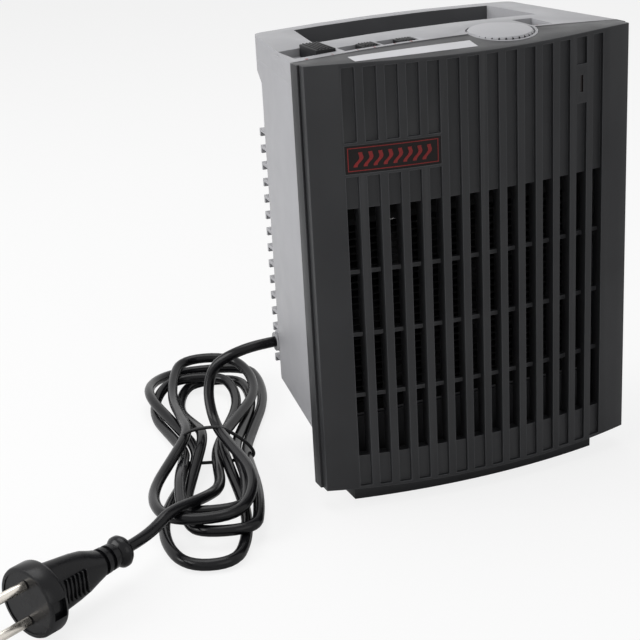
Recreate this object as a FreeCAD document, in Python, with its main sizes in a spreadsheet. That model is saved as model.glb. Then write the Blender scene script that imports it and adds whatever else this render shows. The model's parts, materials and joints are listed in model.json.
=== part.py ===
import FreeCAD, Part
import os
import re

import Sketcher
from FreeCAD import Placement, Rotation, Vector

# A free-standing ceramic fan heater, in millimetres. +Z is up and the front faces -Y.
# Pieces are drawn with y = 0 on the line of the front panel's corners and z = 0 on the floor;
# each finished piece is then moved by plane_y, which centres the heater on the origin.

os.makedirs("parts", exist_ok=True)
doc = FreeCAD.newDocument("ceramic_heater")

SIZES = {
    # whole heater
    "panel_width": 187.0,
    "panel_height": 230.0,
    "foot_height": 12.0,
    "body_depth": 106.0,
    "body_rear_width": 158.6,
    "top_crown": 2.7,
    "wall": 2.4,
    "touch_gap": 0.3,
    # front panel and its grille
    "panel_bulge": 12.0,
    "lens_dip": 1.9,
    "base_bow": 2.0,
    "front_wall": 4.5,
    "side_wall": 2.6,
    "lens_wall": 2.2,
    "column_count": 14,
    "column_pitch": 10.9,
    "opening_width": 6.7,
    "flute_depth": 2.3,
    "flute_margin": 1.6,
    "grille_bottom": 17.8,
    "grille_top": 155.5,
    "bar_depth": 8.0,
    "grille_rows": 4,
    "cross_bar_height": 2.2,
    "cross_bar_setback": 4.5,
    "cross_bar_depth": 3.0,
    # badge and lamp
    "badge_columns": 5,
    "badge_bottom": 172.5,
    "badge_height": 17.5,
    "badge_rim": 1.5,
    "badge_recess": 1.0,
    "badge_thickness": 0.6,
    "lamp_column": 13,
    "lamp_pad_bottom": 193.0,
    "lamp_pad_height": 20.5,
    "lamp_width": 2.0,
    "lamp_height": 9.0,
    "lamp_recess": 0.6,
    # bezel band behind the panel
    "band_front": 5.5,
    "band_step": 1.4,
    "bezel_depth": 14.0,
    "lip_depth": 12.6,
    "bezel_wall": 3.4,
    "lug_size": 11.0,
    "lug_thickness": 3.0,
    "post_length": 13.0,
    # casing and top cover
    "body_inset": 0.45,
    "body_bottom": 32.0,
    "casing_depth": 92.0,
    "overhang_drop": 24.0,
    "overhang_rise": 6.7,
    "cover_height": 11.5,
    "corner_radius": 5.0,
    # handle recess in the top cover
    "recess_front": 51.0,
    "recess_rear": 95.9,
    "recess_front_width": 131.8,
    "recess_rear_width": 118.6,
    "recess_depth": 16.0,
    # thermostat
    "knob_x": 24.5,
    "knob_y": 15.4,
    "knob_rise": 2.5,
    "knob_radius": 17.45,
    "knob_height": 6.0,
    "knob_tilt": 4.0,
    "knob_gap": 0.65,
    "knob_flutes": 30,
    "cup_wall": 1.5,
    "spindle_radius": 3.0,
    "spindle_length": 16.0,
    "running_fit": 0.05,
    "thermostat_radius": 12.0,
    "thermostat_height": 9.0,
    # slide switches: place of each well, then the sliding cap and its travel
    "well_depth": 3.5,
    "well_floor": 1.6,
    "power_x": -88.0,
    "power_y": 21.0,
    "power_length": 23.0,
    "power_width": 24.0,
    "power_cap": 11.0,
    "power_travel": 9.0,
    "heat_x": -62.0,
    "heat_y": 17.5,
    "fan_x": -41.0,
    "fan_y": 17.0,
    "small_length": 20.0,
    "small_width": 11.5,
    "small_cap": 9.5,
    "small_travel": 7.0,
    "cap_gap": 0.4,
    "cap_rise": 1.2,
    "stem_width": 4.0,
    "stem_length": 3.0,
    "stem_reach": 4.0,
    "switch_height": 9.0,
    # finger pocket beside the knob
    "pocket_x": 44.5,
    "pocket_y": 16.5,
    "pocket_length": 12.0,
    "pocket_width": 23.0,
    # rear grille
    "louvre_reach": 107.5,
    "louvre_count": 15,
    "louvre_pitch": 9.7,
    "louvre_low": 42.1,
    "louvre_lip": 4.5,
    "louvre_wall": 1.7,
    "grille_inset": 2.4,
    "grille_band": 7.0,
    "grille_post": 4.0,
    "grille_rib": 3.0,
    "rib_count": 5,
    # foot
    "skid_width": 148.0,
    "skid_setback": 4.8,
    "skid_bulge": 7.5,
    "skid_height": 7.0,
    "skid_depth": 26.0,
    "tab_width": 7.5,
    "pedestal_width": 104.0,
    "pedestal_depth": 86.0,
    "pad_radius": 5.0,
    "pad_thickness": 2.5,
    "pad_proud": 1.0,
    # heating block
    "heater_width": 140.0,
    "heater_height": 112.0,
    "heater_depth": 14.0,
    "heater_front": 16.0,
    "heater_rim": 4.0,
    "stone_count": 5,
    "stone_width": 3.0,
    "fin_strip": 0.8,
    "fin_thickness": 0.8,
    "fin_pitch": 4.0,
    # fan
    "shroud_depth": 34.0,
    "shroud_wall": 2.0,
    "fan_radius": 50.0,
    "tip_gap": 2.0,
    "hub_radius": 15.0,
    "hub_length": 14.0,
    "blade_count": 7,
    "blade_thickness": 1.6,
    "blade_root_chord": 17.0,
    "blade_tip_chord": 24.0,
    "blade_root_angle": 52.0,
    "blade_tip_angle": 68.0,
    "shaft_radius": 2.0,
    "motor_radius": 18.0,
    "motor_length": 15.0,
    "arm_width": 7.0,
    "arm_thickness": 2.5,
    # small inner pieces
    "cutout_radius": 7.0,
    "cutout_height": 6.0,
    "tilt_size": 15.0,
    "tilt_height": 20.0,
    "terminal_length": 22.0,
    "terminal_width": 12.0,
    "terminal_height": 11.0,
    "screw_radius": 1.5,
    "screw_head": 3.0,
    "screw_head_height": 1.8,
    "screw_length": 9.0,
    # cord, hank and plug
    "cord_diameter": 6.3,
    "entry_y": 99.2,
    "entry_z": 52.5,
    "entry_boss": 6.8,
    "entry_boss_length": 17.0,
    "grommet_flange": 5.6,
    "grommet_flange_length": 2.2,
    "grommet_sleeve": 4.6,
    "hank_height": 26.0,
    "tie_width": 2.6,
    "tie_thickness": 1.4,
    "plug_radius": 18.5,
    "plug_length": 66.0,
    "pin_radius": 2.4,
    "pin_length": 19.0,
    "pin_spacing": 19.0,
}

# Formulas that several pieces share.
FORMULAS = {
    "plane_y": "(panel_bulge - louvre_reach) / 2",
    "panel_half": "(panel_width / 2 - band_step)",
    "face_radius": "((panel_half ^ 2 + panel_bulge ^ 2) / (2 * panel_bulge))",
    "panel_low": "foot_height",
    "panel_high": "(foot_height + panel_height)",
    "lens_under": "(panel_high - lens_dip - lens_wall)",
    "columns_half": "((column_count - 1) * column_pitch / 2 + opening_width / 2)",
    "seam_z": "(panel_high - cover_height)",
    "casing_low": "(foot_height + body_bottom)",
    "floor_z": "(casing_low + wall)",
    "taper": "((panel_width / 2 - body_inset - body_rear_width / 2) / (body_depth - bezel_depth))",
    "grille_half": "(panel_width / 2 - body_inset - taper * (casing_depth - bezel_depth) - grille_inset)",
    "grille_low": "(foot_height + body_bottom - 1)",
    "grille_high": "(foot_height + louvre_low + (louvre_count - 1) * louvre_pitch + 6.3)",
    "overhang_start": "(panel_height - overhang_drop)",
    "overhang_end": "(panel_height - overhang_drop + overhang_rise)",
    "shroud_half": "(heater_width / 2 + shroud_wall)",
    "air_height": "max(heater_height; 2 * (fan_radius + tip_gap))",
    "shroud_high": "(floor_z + air_height + 2 * shroud_wall)",
    "heater_low": "(floor_z + shroud_wall)",
    "heater_rear": "(heater_front + heater_depth)",
    "shroud_rear": "(heater_rear + shroud_depth)",
    "rotor_z": "(heater_low + air_height / 2)",
    "rotor_y": "(heater_rear + shroud_depth - hub_length - shroud_wall)",
    "well_z": "(panel_high - well_depth)",
    "knob_top": "(panel_height + knob_rise)",
    "cup_depth": "(knob_height + 1.5)",
}
# The axis that each origin plane faces along, and the turns that lay a cylinder along an axis.
NORMAL_SIGN = {"XY_Plane": 1, "XZ_Plane": -1, "YZ_Plane": 1}
ALONG = {
    "x": Rotation(Vector(0, 1, 0), 90),
    "y": Rotation(Vector(1, 0, 0), -90),
    "z": Rotation(Vector(1, 0, 0), 0),
}

sheet = doc.addObject("Spreadsheet::Sheet", "Sizes")
for row, (alias, size) in enumerate(SIZES.items(), start=1):
    sheet.set(f"A{row}", alias)
    sheet.set(f"B{row}", str(size))
    sheet.setAlias(f"B{row}", alias)
doc.recompute()

nodes = []


def formula(text):
    """Open the shared formulas and name the sheet, so that FreeCAD can read the text."""
    def full_name(match):
        word = match.group(0)
        if word in SIZES:
            return "Sizes." + word
        if word in FORMULAS:
            return "(" + formula(FORMULAS[word]) + ")"
        return word
    return re.sub(r"[a-z][a-z_]*", full_name, str(text))


def value(text):
    """The number that a formula of named sizes gives."""
    return float(sheet.evalExpression(formula(text)))


def bind(obj, links):
    """Tie properties of an object to formulas of the sheet."""
    for prop, text in links.items():
        obj.setExpression(prop, formula(text))
    return obj


def side(depth):
    """Half width of the tapered casing at a depth behind the panel's corners."""
    return f"(panel_width / 2 - body_inset - taper * (({depth}) - bezel_depth))"


def box(name, x_span, y_span, z_span):
    """A block between two formulas on each axis."""
    block = doc.addObject("Part::Box", name)
    for axis, side_name, (low, high) in zip("xyz", ("Length", "Width", "Height"), (x_span, y_span, z_span)):
        bind(block, {f"Placement.Base.{axis}": low, side_name: f"({high}) - ({low})"})
    return block


def rod(name, axis, start, radius, length):
    """A cylinder that runs along an axis from its start point."""
    cylinder = doc.addObject("Part::Cylinder", name)
    cylinder.Placement.Rotation = ALONG[axis]
    places = {f"Placement.Base.{letter}": text for letter, text in zip("xyz", start)}
    return bind(cylinder, {**places, "Radius": radius, "Height": length})


def cut(name, base, *tools):
    """Take the tools away from the base, one after another."""
    for number, tool in enumerate(tools, start=1):
        step = doc.addObject("Part::Cut", name if number == len(tools) else f"{name}_step{number}")
        step.Base = base
        step.Tool = tool
        base = step
    return base


def fuse(name, *shapes):
    joined = doc.addObject("Part::MultiFuse", name)
    joined.Shapes = list(shapes)
    return joined


def common(name, *shapes):
    shared = doc.addObject("Part::MultiCommon", name)
    shared.Shapes = list(shapes)
    return shared


def group(name, shapes):
    """Several separate solids that make one piece or a set of like pieces."""
    compound = doc.addObject("Part::Compound", name)
    compound.Links = list(shapes)
    return compound


def origin_part(body, role):
    return next(part for part in body.Origin.OriginFeatures if part.Role == role)


def sketch_on(body, name, plane, corners, level):
    """A closed outline on an origin plane. A corner is (u, v), or (u, v, bulge) where the side that
    leaves it is an arc; the bulge is to the right of the way round."""
    sketch = body.newObject("Sketcher::SketchObject", name)
    sketch.AttachmentSupport = [(origin_part(body, plane), "")]
    sketch.MapMode = "FlatFace"
    bind(sketch, {"AttachmentOffset.Base.z": f"{NORMAL_SIGN[plane]} * ({level})"})
    points = [Vector(value(corner[0]), value(corner[1]), 0) for corner in corners]
    ends = []
    for number, corner in enumerate(corners):
        start = points[number]
        end = points[(number + 1) % len(points)]
        if len(corner) == 3:
            run = (end - start).normalize()
            middle = (start + end) / 2 + Vector(run.y, -run.x, 0) * value(corner[2])
            edge = sketch.addGeometry(Part.Arc(start, middle, end), False)
            following = corners[(number + 1) % len(corners)]
            chord = f"(({following[0]}) - ({corner[0]})) ^ 2 + (({following[1]}) - ({corner[1]})) ^ 2"
            bulge = f"abs({corner[2]})"
            sketch.addConstraint(Sketcher.Constraint("Radius", edge, sketch.Geometry[edge].Radius))
            bind(sketch, {f"Constraints[{sketch.ConstraintCount - 1}]":
                          f"({chord}) / (8 * {bulge}) + {bulge} / 2"})
        else:
            edge = sketch.addGeometry(Part.LineSegment(start, end), False)
        first = 1 if (sketch.getPoint(edge, 1) - start).Length < 1e-6 else 2
        ends.append((edge, first, 3 - first))
    for number, (edge, first, last) in enumerate(ends):
        next_edge, next_first, _ = ends[(number + 1) % len(ends)]
        sketch.addConstraint(Sketcher.Constraint("Coincident", edge, last, next_edge, next_first))
        for kind, text, place in zip(("DistanceX", "DistanceY"), corners[number], points[number]):
            sketch.addConstraint(Sketcher.Constraint(kind, -1, 1, edge, first, place))
            bind(sketch, {f"Constraints[{sketch.ConstraintCount - 1}]": text})
    return sketch


def pad(body, sketch, plane, length):
    """Thicken a sketch along the positive axis that its plane is square to."""
    feature = body.newObject("PartDesign::Pad", sketch.Name + "_pad")
    feature.Profile = sketch
    feature.Reversed = NORMAL_SIGN[plane] < 0
    return bind(feature, {"Length": length})


def prism(name, plane, corners, start, end):
    """A body of one outline, from one level to another along the plane's axis."""
    body = doc.addObject("PartDesign::Body", name)
    sketch = sketch_on(body, name + "_outline", plane, corners, start)
    pad(body, sketch, plane, f"({end}) - ({start})")
    return body


def node(obj, label):
    """Name a finished piece and move it into the heater's own frame."""
    obj.Label = label
    own_y = [text for path, text in obj.ExpressionEngine if path.endswith("Placement.Base.y")]
    obj.setExpression("Placement.Base.y", " + ".join([formula("plane_y")] + [f"({text})" for text in own_y]))
    nodes.append(obj)
    return obj


def tilted(obj, rise):
    """Stand an object on the knob's axis, which leans forward, a height above the knob's top."""
    obj.Placement.Rotation = Rotation(Vector(1, 0, 0), value("knob_tilt"))
    return bind(obj, {
        "Placement.Rotation.Angle": "knob_tilt",
        "Placement.Base.x": "knob_x",
        "Placement.Base.y": f"knob_y - ({rise}) * sin(knob_tilt * 1deg)",
        "Placement.Base.z": f"foot_height + knob_top + ({rise}) * cos(knob_tilt * 1deg)",
    })


def knob_rod(name, radius, low, high):
    """A cylinder on the knob's axis between two heights measured from the knob's top."""
    cylinder = doc.addObject("Part::Cylinder", name)
    bind(cylinder, {"Radius": radius, "Height": f"({high}) - ({low})"})
    return tilted(cylinder, low)


def face_rod(name, depth):
    """The big upright cylinder whose surface lies a depth behind the bulged front face."""
    radius = f"face_radius - ({depth})"
    return rod(name, "z", ("0", "face_radius - panel_bulge", "-5"), radius, "panel_high + 20")


def face_layer(name, near, far, parts):
    """What lies between two depths behind the bulged face, inside the given blocks."""
    layer = cut(name + "_layer", face_rod(name + "_near", near), face_rod(name + "_far", far))
    return common(name, layer, parts)


def crowned_profile(half, low, high, high_crown, low_bow=None):
    """Front outline with a crowned top and, where it is given, a bowed bottom."""
    bottom = (f"-({half})", low, low_bow) if low_bow else (f"-({half})", low)
    return [bottom, (half, low), (half, high, high_crown), (f"-({half})", high)]


# Front panel: one moulding with a bulged face, upright flutes that open into the air outlet,
# and a lens-shaped top that slopes forward from the crown of the top cover.

def column_x(number):
    return f"({number} - (column_count - 1) / 2) * column_pitch"


def column_span(number):
    return (f"{column_x(number)} - opening_width / 2", f"{column_x(number)} + opening_width / 2")


faces_body = doc.addObject("PartDesign::Body", "panel_faces")
rear_face = sketch_on(faces_body, "panel_rear_face", "XZ_Plane",
                      crowned_profile("panel_half", "panel_low", "panel_high", "top_crown", "base_bow"),
                      "bezel_depth")
front_face = sketch_on(faces_body, "panel_front_face", "XZ_Plane",
                       crowned_profile("panel_half", "panel_low", "panel_high", "-lens_dip", "base_bow"),
                       "-panel_bulge - 1")
faces_loft = faces_body.newObject("PartDesign::AdditiveLoft", "panel_faces_loft")
faces_loft.Profile = rear_face
faces_loft.Sections = [front_face]
faces_loft.Ruled = True

panel_blank = common("panel_blank", faces_body, face_rod("panel_face", "0"),
                     box("panel_reach", ("-panel_half", "panel_half"), ("-panel_bulge - 1", "lip_depth"),
                         ("0", "panel_high + 10")))
panel_cavity = common("panel_cavity", face_rod("panel_inner_face", "front_wall"),
                      box("panel_inside", ("-panel_half + side_wall", "panel_half - side_wall"),
                          ("-panel_bulge", "bezel_depth + 1"), ("panel_low + side_wall", "lens_under")))
panel_rear = box("panel_rear", ("-panel_width", "panel_width"), ("band_front", "bezel_depth + 1"),
                 ("0", "lens_under"))
panel_shell = cut("panel_shell", panel_blank, panel_cavity, panel_rear)
bar_block = face_layer("bar_block", "front_wall / 2", "bar_depth",
                       box("bar_zone", ("-columns_half - side_wall", "columns_half + side_wall"),
                           ("-panel_bulge", "bezel_depth"),
                           ("foot_height + grille_bottom - side_wall", "foot_height + grille_top + side_wall")))
column_total = int(SIZES["column_count"])
openings = group("air_openings", [
    box(f"air_opening_{number}", column_span(number), ("-panel_bulge - 5", "bezel_depth"),
        ("foot_height + grille_bottom", "foot_height + grille_top"))
    for number in range(column_total)])
badge_half = "((badge_columns * column_pitch - (column_pitch - opening_width)) / 2 + badge_rim)"
badge_x = f"(({column_x(0)}) + (badge_columns - 1) * column_pitch / 2)"
badge_low = "foot_height + badge_bottom"
badge_high = "foot_height + badge_bottom + badge_height"
lamp_x = column_x("(lamp_column - 1)")
pad_low = "foot_height + lamp_pad_bottom"
pad_high = "foot_height + lamp_pad_bottom + lamp_pad_height"
flutes = []
for number in range(column_total):
    bow = f"(1 - ({column_x(number)}) ^ 2 / panel_half ^ 2)"
    low = f"panel_low - base_bow * {bow} + flute_margin"
    high = f"panel_high - lens_dip * {bow} - flute_margin"
    spans = [(low, high)]
    if number < SIZES["badge_columns"]:
        spans = [(low, badge_low), (badge_high, high)]
    if number == SIZES["lamp_column"] - 1:
        spans = [(low, pad_low), (pad_high, high)]
    for part, span in enumerate(spans):
        flutes.append(box(f"flute_{number}_{part}", column_span(number), ("-panel_bulge - 1", "bezel_depth"),
                          span))
flute_cuts = face_layer("flute_cuts", "-1", "flute_depth", group("flute_boxes", flutes))
badge_field = face_layer("badge_field", "-1", "badge_recess",
                         box("badge_zone", (f"{badge_x} - {badge_half} + badge_rim",
                                            f"{badge_x} + {badge_half} - badge_rim"),
                             ("-panel_bulge - 1", "bezel_depth"),
                             (f"{badge_low} + badge_rim", f"{badge_high} - badge_rim")))
lamp_z = f"({pad_low} + lamp_pad_height / 2 - lamp_height / 2)"
lamp_slot = box("lamp_slot", (f"{lamp_x} - lamp_width / 2", f"{lamp_x} + lamp_width / 2"),
                ("-panel_bulge - 1", "band_front"), (lamp_z, f"{lamp_z} + lamp_height"))
cup_clearance = knob_rod("cup_clearance", "knob_radius + knob_gap + cup_wall + touch_gap", "-30", "15")
panel_open = cut("panel_open", fuse("panel_ribbed", panel_shell, bar_block), openings, flute_cuts,
                 badge_field, lamp_slot, cup_clearance)
grille_low_edge = "foot_height + grille_bottom"
row_pitch = "(grille_top - grille_bottom) / grille_rows"
cross_bars = face_layer("cross_bars", "cross_bar_setback", "cross_bar_setback + cross_bar_depth",
                        group("cross_bar_zones", [
                            box(f"cross_bar_{number}", ("-columns_half - 1", "columns_half + 1"),
                                ("-panel_bulge", "bezel_depth"),
                                (f"{grille_low_edge} + {number} * {row_pitch} - cross_bar_height / 2",
                                 f"{grille_low_edge} + {number} * {row_pitch} + cross_bar_height / 2"))
                            for number in range(1, int(SIZES["grille_rows"]))]))
node(fuse("front_panel", panel_open, cross_bars), "front_panel")

badge = face_layer("badge_plate", "badge_recess - badge_thickness", "badge_recess",
                   box("badge_outline", (f"{badge_x} - {badge_half} + badge_rim",
                                         f"{badge_x} + {badge_half} - badge_rim"),
                       ("-panel_bulge - 1", "bezel_depth"),
                       (f"{badge_low} + badge_rim", f"{badge_high} - badge_rim")))
node(badge, "badge_plate")
lens = face_layer("power_lens", "lamp_recess", "front_wall",
                  box("lens_outline", (f"{lamp_x} - lamp_width / 2", f"{lamp_x} + lamp_width / 2"),
                      ("-panel_bulge - 1", "band_front"), (lamp_z, f"{lamp_z} + lamp_height")))
node(lens, "power_lens")

# Bezel: the band around the panel, wider than the casing, which closes the panel's lower back.

band = prism("bezel_band", "XZ_Plane",
             crowned_profile("panel_width / 2", "panel_low", "panel_high", "top_crown", "base_bow"),
             "band_front", "bezel_depth")
band_opening = box("bezel_opening", ("-panel_width / 2 + bezel_wall", "panel_width / 2 - bezel_wall"),
                   ("0", "bezel_depth + 1"), ("panel_low + bezel_wall", "lens_under - bezel_wall"))
lip_seat = box("lip_seat", ("-panel_half", "panel_half"), ("0", "lip_depth"),
               ("lens_under", "panel_high + 10"))
lower_back = box("lower_back", ("-panel_width / 2 + 1", "panel_width / 2 - 1"),
                 ("bezel_depth - wall", "bezel_depth"), ("panel_low + 1", "floor_z"))
screw_x = "(panel_width / 2 - bezel_wall - lug_size / 2)"
screw_low = "(floor_z + lug_size / 2)"
screw_high = "(seam_z - lug_size / 2 - 1)"
corner_places = [(sign, height) for sign in ("-", "") for height in (screw_low, screw_high)]
lugs = [box(f"bezel_lug_{number}",
            (f"{sign}{screw_x} - lug_size / 2 - 1 * {'1' if sign else '0'}",
             f"{sign}{screw_x} + lug_size / 2 + 1 * {'0' if sign else '1'}"),
            ("bezel_depth - lug_thickness", "bezel_depth"),
            (f"{height} - lug_size / 2 - 1", f"{height} + lug_size / 2 + 1"))
        for number, (sign, height) in enumerate(corner_places)]
lug_holes = group("lug_holes", [
    rod(f"lug_hole_{number}", "y", (f"{sign}{screw_x}", "0", height), "screw_radius + 0.2", "bezel_depth + 1")
    for number, (sign, height) in enumerate(corner_places)])
bezel = cut("front_bezel", fuse("bezel_ring", cut("bezel_frame", band, band_opening, lip_seat),
                                lower_back, *lugs),
            lug_holes, cup_clearance)
node(bezel, "front_bezel")

# Casing: a tapered shell, open in front, with a forward-leaning step under the rear of the cover.

def plan_outline(inset, front, rear):
    """Tapered plan of the casing, shrunk by an inset."""
    return [(f"-({side(front)} - ({inset}))", front), (f"{side(front)} - ({inset})", front),
            (f"{side(rear)} - ({inset})", rear), (f"-({side(rear)} - ({inset}))", rear)]


def side_outline(inset, front, top):
    """Casing seen from the side: flat bottom, upright rear wall, overhang below the cover's seam."""
    return [(front, f"casing_low + ({inset})"),
            (f"casing_depth - ({inset})", f"casing_low + ({inset})"),
            (f"casing_depth - ({inset})", "foot_height + overhang_start"),
            (f"body_depth - 1 - ({inset})", "foot_height + overhang_end"),
            (f"body_depth - 0.4 - ({inset})", top),
            (front, top)]


def rounded_rear(body, edge_x, edge_y, radius):
    """Round the two upright rear edges of a padded plan."""
    base = body.Tip
    names = [f"Edge{number}" for number, edge in enumerate(base.Shape.Edges, start=1)
             if abs(abs(edge.CenterOfMass.x) - value(edge_x)) < 0.01
             and abs(edge.CenterOfMass.y - value(edge_y)) < 0.01]
    rounding = body.newObject("PartDesign::Fillet", body.Name + "_corners")
    rounding.Base = (base, names)
    bind(rounding, {"Radius": radius})
    return body


casing_plan = prism("casing_plan", "XY_Plane", plan_outline("0", "bezel_depth", "body_depth"),
                    "0", "panel_high + 10")
inner_plan = prism("casing_inner_plan", "XY_Plane",
                   plan_outline("wall", "bezel_depth - 1", "body_depth - wall"), "0", "panel_high + 9")
doc.recompute()
rounded_rear(casing_plan, side("body_depth"), "body_depth", "corner_radius")
casing_side = prism("casing_side", "YZ_Plane", side_outline("0", "bezel_depth", "seam_z"),
                    "-panel_width", "panel_width")
inner_side = prism("casing_inner_side", "YZ_Plane", side_outline("wall", "bezel_depth - 1", "seam_z + 1"),
                   "-panel_width", "panel_width")
intake = box("intake_opening", ("-grille_half + grille_post + 1", "grille_half - grille_post - 1"),
             ("casing_depth - wall - 1", "casing_depth + 1"),
             ("floor_z + 2", "grille_high - grille_post - 1"))
posts = [rod(f"casing_post_{number}", "y", (f"{sign}{screw_x}", "bezel_depth", height), "lug_size / 2 - 1",
             "post_length")
         for number, (sign, height) in enumerate(corner_places)]
post_side = side("bezel_depth + post_length")
post_ties = [box(f"post_tie_{number}",
                 (f"{screw_x}", f"{post_side} - wall / 2") if not sign else
                 (f"-({post_side} - wall / 2)", f"-{screw_x}"),
                 ("bezel_depth", "bezel_depth + post_length"), (f"{height} - 1", f"{height} + 1"))
             for number, (sign, height) in enumerate(corner_places)]
post_holes = group("post_holes", [
    rod(f"post_hole_{number}", "y", (f"{sign}{screw_x}", "bezel_depth - 1", height),
        "screw_radius", "screw_length + 1 - lug_thickness")
    for number, (sign, height) in enumerate(corner_places)])
foot_screw_places = [(x, y) for x in ("-pedestal_width / 2 + 8", "pedestal_width / 2 - 8")
                     for y in ("skid_depth + 8", "pedestal_depth - 9")]
foot_holes = group("foot_holes", [
    rod(f"foot_hole_{number}", "z", (x, y, "casing_low - 1"), "screw_radius", "wall + 2")
    for number, (x, y) in enumerate(foot_screw_places)])
casing = cut("body_casing",
             fuse("casing_with_posts",
                  cut("casing_shell", common("casing_outer", casing_plan, casing_side),
                      common("casing_inner", inner_plan, inner_side)),
                  *posts, *post_ties),
             intake, post_holes, foot_holes)
node(casing, "body_casing")

# Top cover: crowned deck with the handle recess, the wells of the slides and the knob's cup.

deck = common("deck", casing_plan,
              prism("deck_crown", "XZ_Plane",
                    crowned_profile("panel_width / 2", "seam_z", "panel_high", "top_crown"),
                    "bezel_depth", "body_depth"))
deck_inside = common("deck_inside", inner_plan,
                     box("deck_under", ("-panel_width", "panel_width"), ("bezel_depth - 1", "body_depth"),
                         ("0", "panel_high - wall")))


def recess_outline(inset):
    return [("-recess_front_width / 2 - ({0})".format(inset), "recess_front - ({0})".format(inset)),
            ("recess_front_width / 2 + ({0})".format(inset), "recess_front - ({0})".format(inset)),
            ("recess_rear_width / 2 + ({0})".format(inset), "recess_rear + ({0})".format(inset)),
            ("-recess_rear_width / 2 - ({0})".format(inset), "recess_rear + ({0})".format(inset))]


tub = prism("handle_tub", "XY_Plane", recess_outline("wall"), "panel_high - recess_depth - wall",
            "panel_high - wall / 2")
recess = prism("handle_recess", "XY_Plane", recess_outline("0"), "panel_high - recess_depth",
               "panel_high + 10")
WELLS = {
    "power": ("power_x", "power_y", "power_length", "power_width"),
    "heat": ("heat_x", "heat_y", "small_length", "small_width"),
    "fan": ("fan_x", "fan_y", "small_length", "small_width"),
    "pocket": ("pocket_x", "pocket_y", "pocket_length", "pocket_width"),
}
well_blocks = []
well_cuts = []
for name, (x, y, length, width) in WELLS.items():
    well_blocks.append(box(f"{name}_well_block", (f"{x} - well_floor", f"{x} + {length} + well_floor"),
                           (f"{y} - well_floor", f"{y} + {width} + well_floor"),
                           ("well_z - well_floor", "panel_high - wall / 2")))
    well_cuts.append(box(f"{name}_well", (x, f"{x} + {length}"), (y, f"{y} + {width}"),
                         ("well_z", "panel_high + 10")))
CAPS = {
    "power": ("power_x", "power_y", "power_length", "power_width", "power_cap", "power_travel"),
    "heat": ("heat_x", "heat_y", "small_length", "small_width", "small_cap", "small_travel"),
    "fan": ("fan_x", "fan_y", "small_length", "small_width", "small_cap", "small_travel"),
}


def cap_span(x, length, cap):
    """A cap rests at the right end of its well."""
    return (f"{x} + {length} - {cap} - cap_gap", f"{x} + {length} - cap_gap")


def stem_span(x, length, cap):
    centre = f"({x} + {length} - {cap} / 2 - cap_gap)"
    return (f"{centre} - stem_length / 2", f"{centre} + stem_length / 2")


stem_slots = []
for name, (x, y, length, width, cap, travel) in CAPS.items():
    low, high = stem_span(x, length, cap)
    middle = f"({y} + {width} / 2)"
    stem_slots.append(box(f"{name}_stem_slot", (f"{low} - {travel} - cap_gap", f"{high} + cap_gap"),
                          (f"{middle} - stem_width / 2 - cap_gap", f"{middle} + stem_width / 2 + cap_gap"),
                          ("well_z - well_floor - 1", "well_z + 1")))
cup_outer = knob_rod("cup_outer", "knob_radius + knob_gap + cup_wall", "-cup_depth - cup_wall", "10")
cup_in_lens = common("cup_in_lens", cup_outer, faces_body)
cup_in_deck = common("cup_in_deck", cup_outer, deck)
cup_bore = knob_rod("cup_bore", "knob_radius + knob_gap", "-cup_depth", "15")
spindle_hole = knob_rod("spindle_hole", "spindle_radius + touch_gap + 0.2", "-cup_depth - 10", "0")
cover = cut("top_cover",
            fuse("cover_solid", cut("deck_shell", deck, deck_inside), tub, cup_in_lens, cup_in_deck,
                 *well_blocks),
            recess, *well_cuts, *stem_slots, cup_bore, spindle_hole)
node(cover, "top_cover")

# Thermostat: fluted knob, spindle and the control below the cup.

knob_body = doc.addObject("PartDesign::Body", "knob_blank")
knob_sketch = sketch_on(knob_body, "knob_profile", "XZ_Plane",
                        [("0", "-knob_height"), ("knob_radius", "-knob_height"),
                         ("knob_radius", "-1"), ("knob_radius - 1", "0"), ("0", "0")], "0")
knob_turn = knob_body.newObject("PartDesign::Revolution", "knob_turn")
knob_turn.Profile = knob_sketch
knob_turn.ReferenceAxis = (origin_part(knob_body, "Z_Axis"), [""])
knob_turn.Angle = 360
flute_sketch = sketch_on(knob_body, "knob_flute_outline", "XY_Plane",
                         [("knob_radius - 0.7", "0"), ("knob_radius + 0.5", "-1"),
                          ("knob_radius + 0.5", "1")],
                         "-knob_height - 1")
knob_flute = knob_body.newObject("PartDesign::Pocket", "knob_flute")
knob_flute.Profile = flute_sketch
knob_flute.Reversed = True
bind(knob_flute, {"Length": "knob_height + 2"})
knob_flutes = knob_body.newObject("PartDesign::PolarPattern", "knob_flutes")
knob_flutes.Originals = [knob_flute]
knob_flutes.Axis = (origin_part(knob_body, "Z_Axis"), [""])
knob_flutes.Angle = 360
bind(knob_flutes, {"Occurrences": "knob_flutes"})
knob_body.Tip = knob_flutes
tilted(knob_body, "0")
node(cut("thermostat_knob", knob_body,
         knob_rod("knob_bore", "spindle_radius", "-knob_height - 1", "-2")), "thermostat_knob")
node(knob_rod("thermostat_shaft", "spindle_radius", "-spindle_length", "-2"), "thermostat_shaft")
thermostat_top = "(-cup_depth - cup_wall)"
thermostat = cut("thermostat_body",
                 knob_rod("thermostat_case", "thermostat_radius",
                          f"{thermostat_top} - thermostat_height", thermostat_top),
                 knob_rod("thermostat_bore", "spindle_radius + running_fit",
                          "-spindle_length - 1", "0"))
node(thermostat, "thermostat_body")

# Slide switches: ribbed cap with a stem that reaches through the well's floor into its switch.

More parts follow.
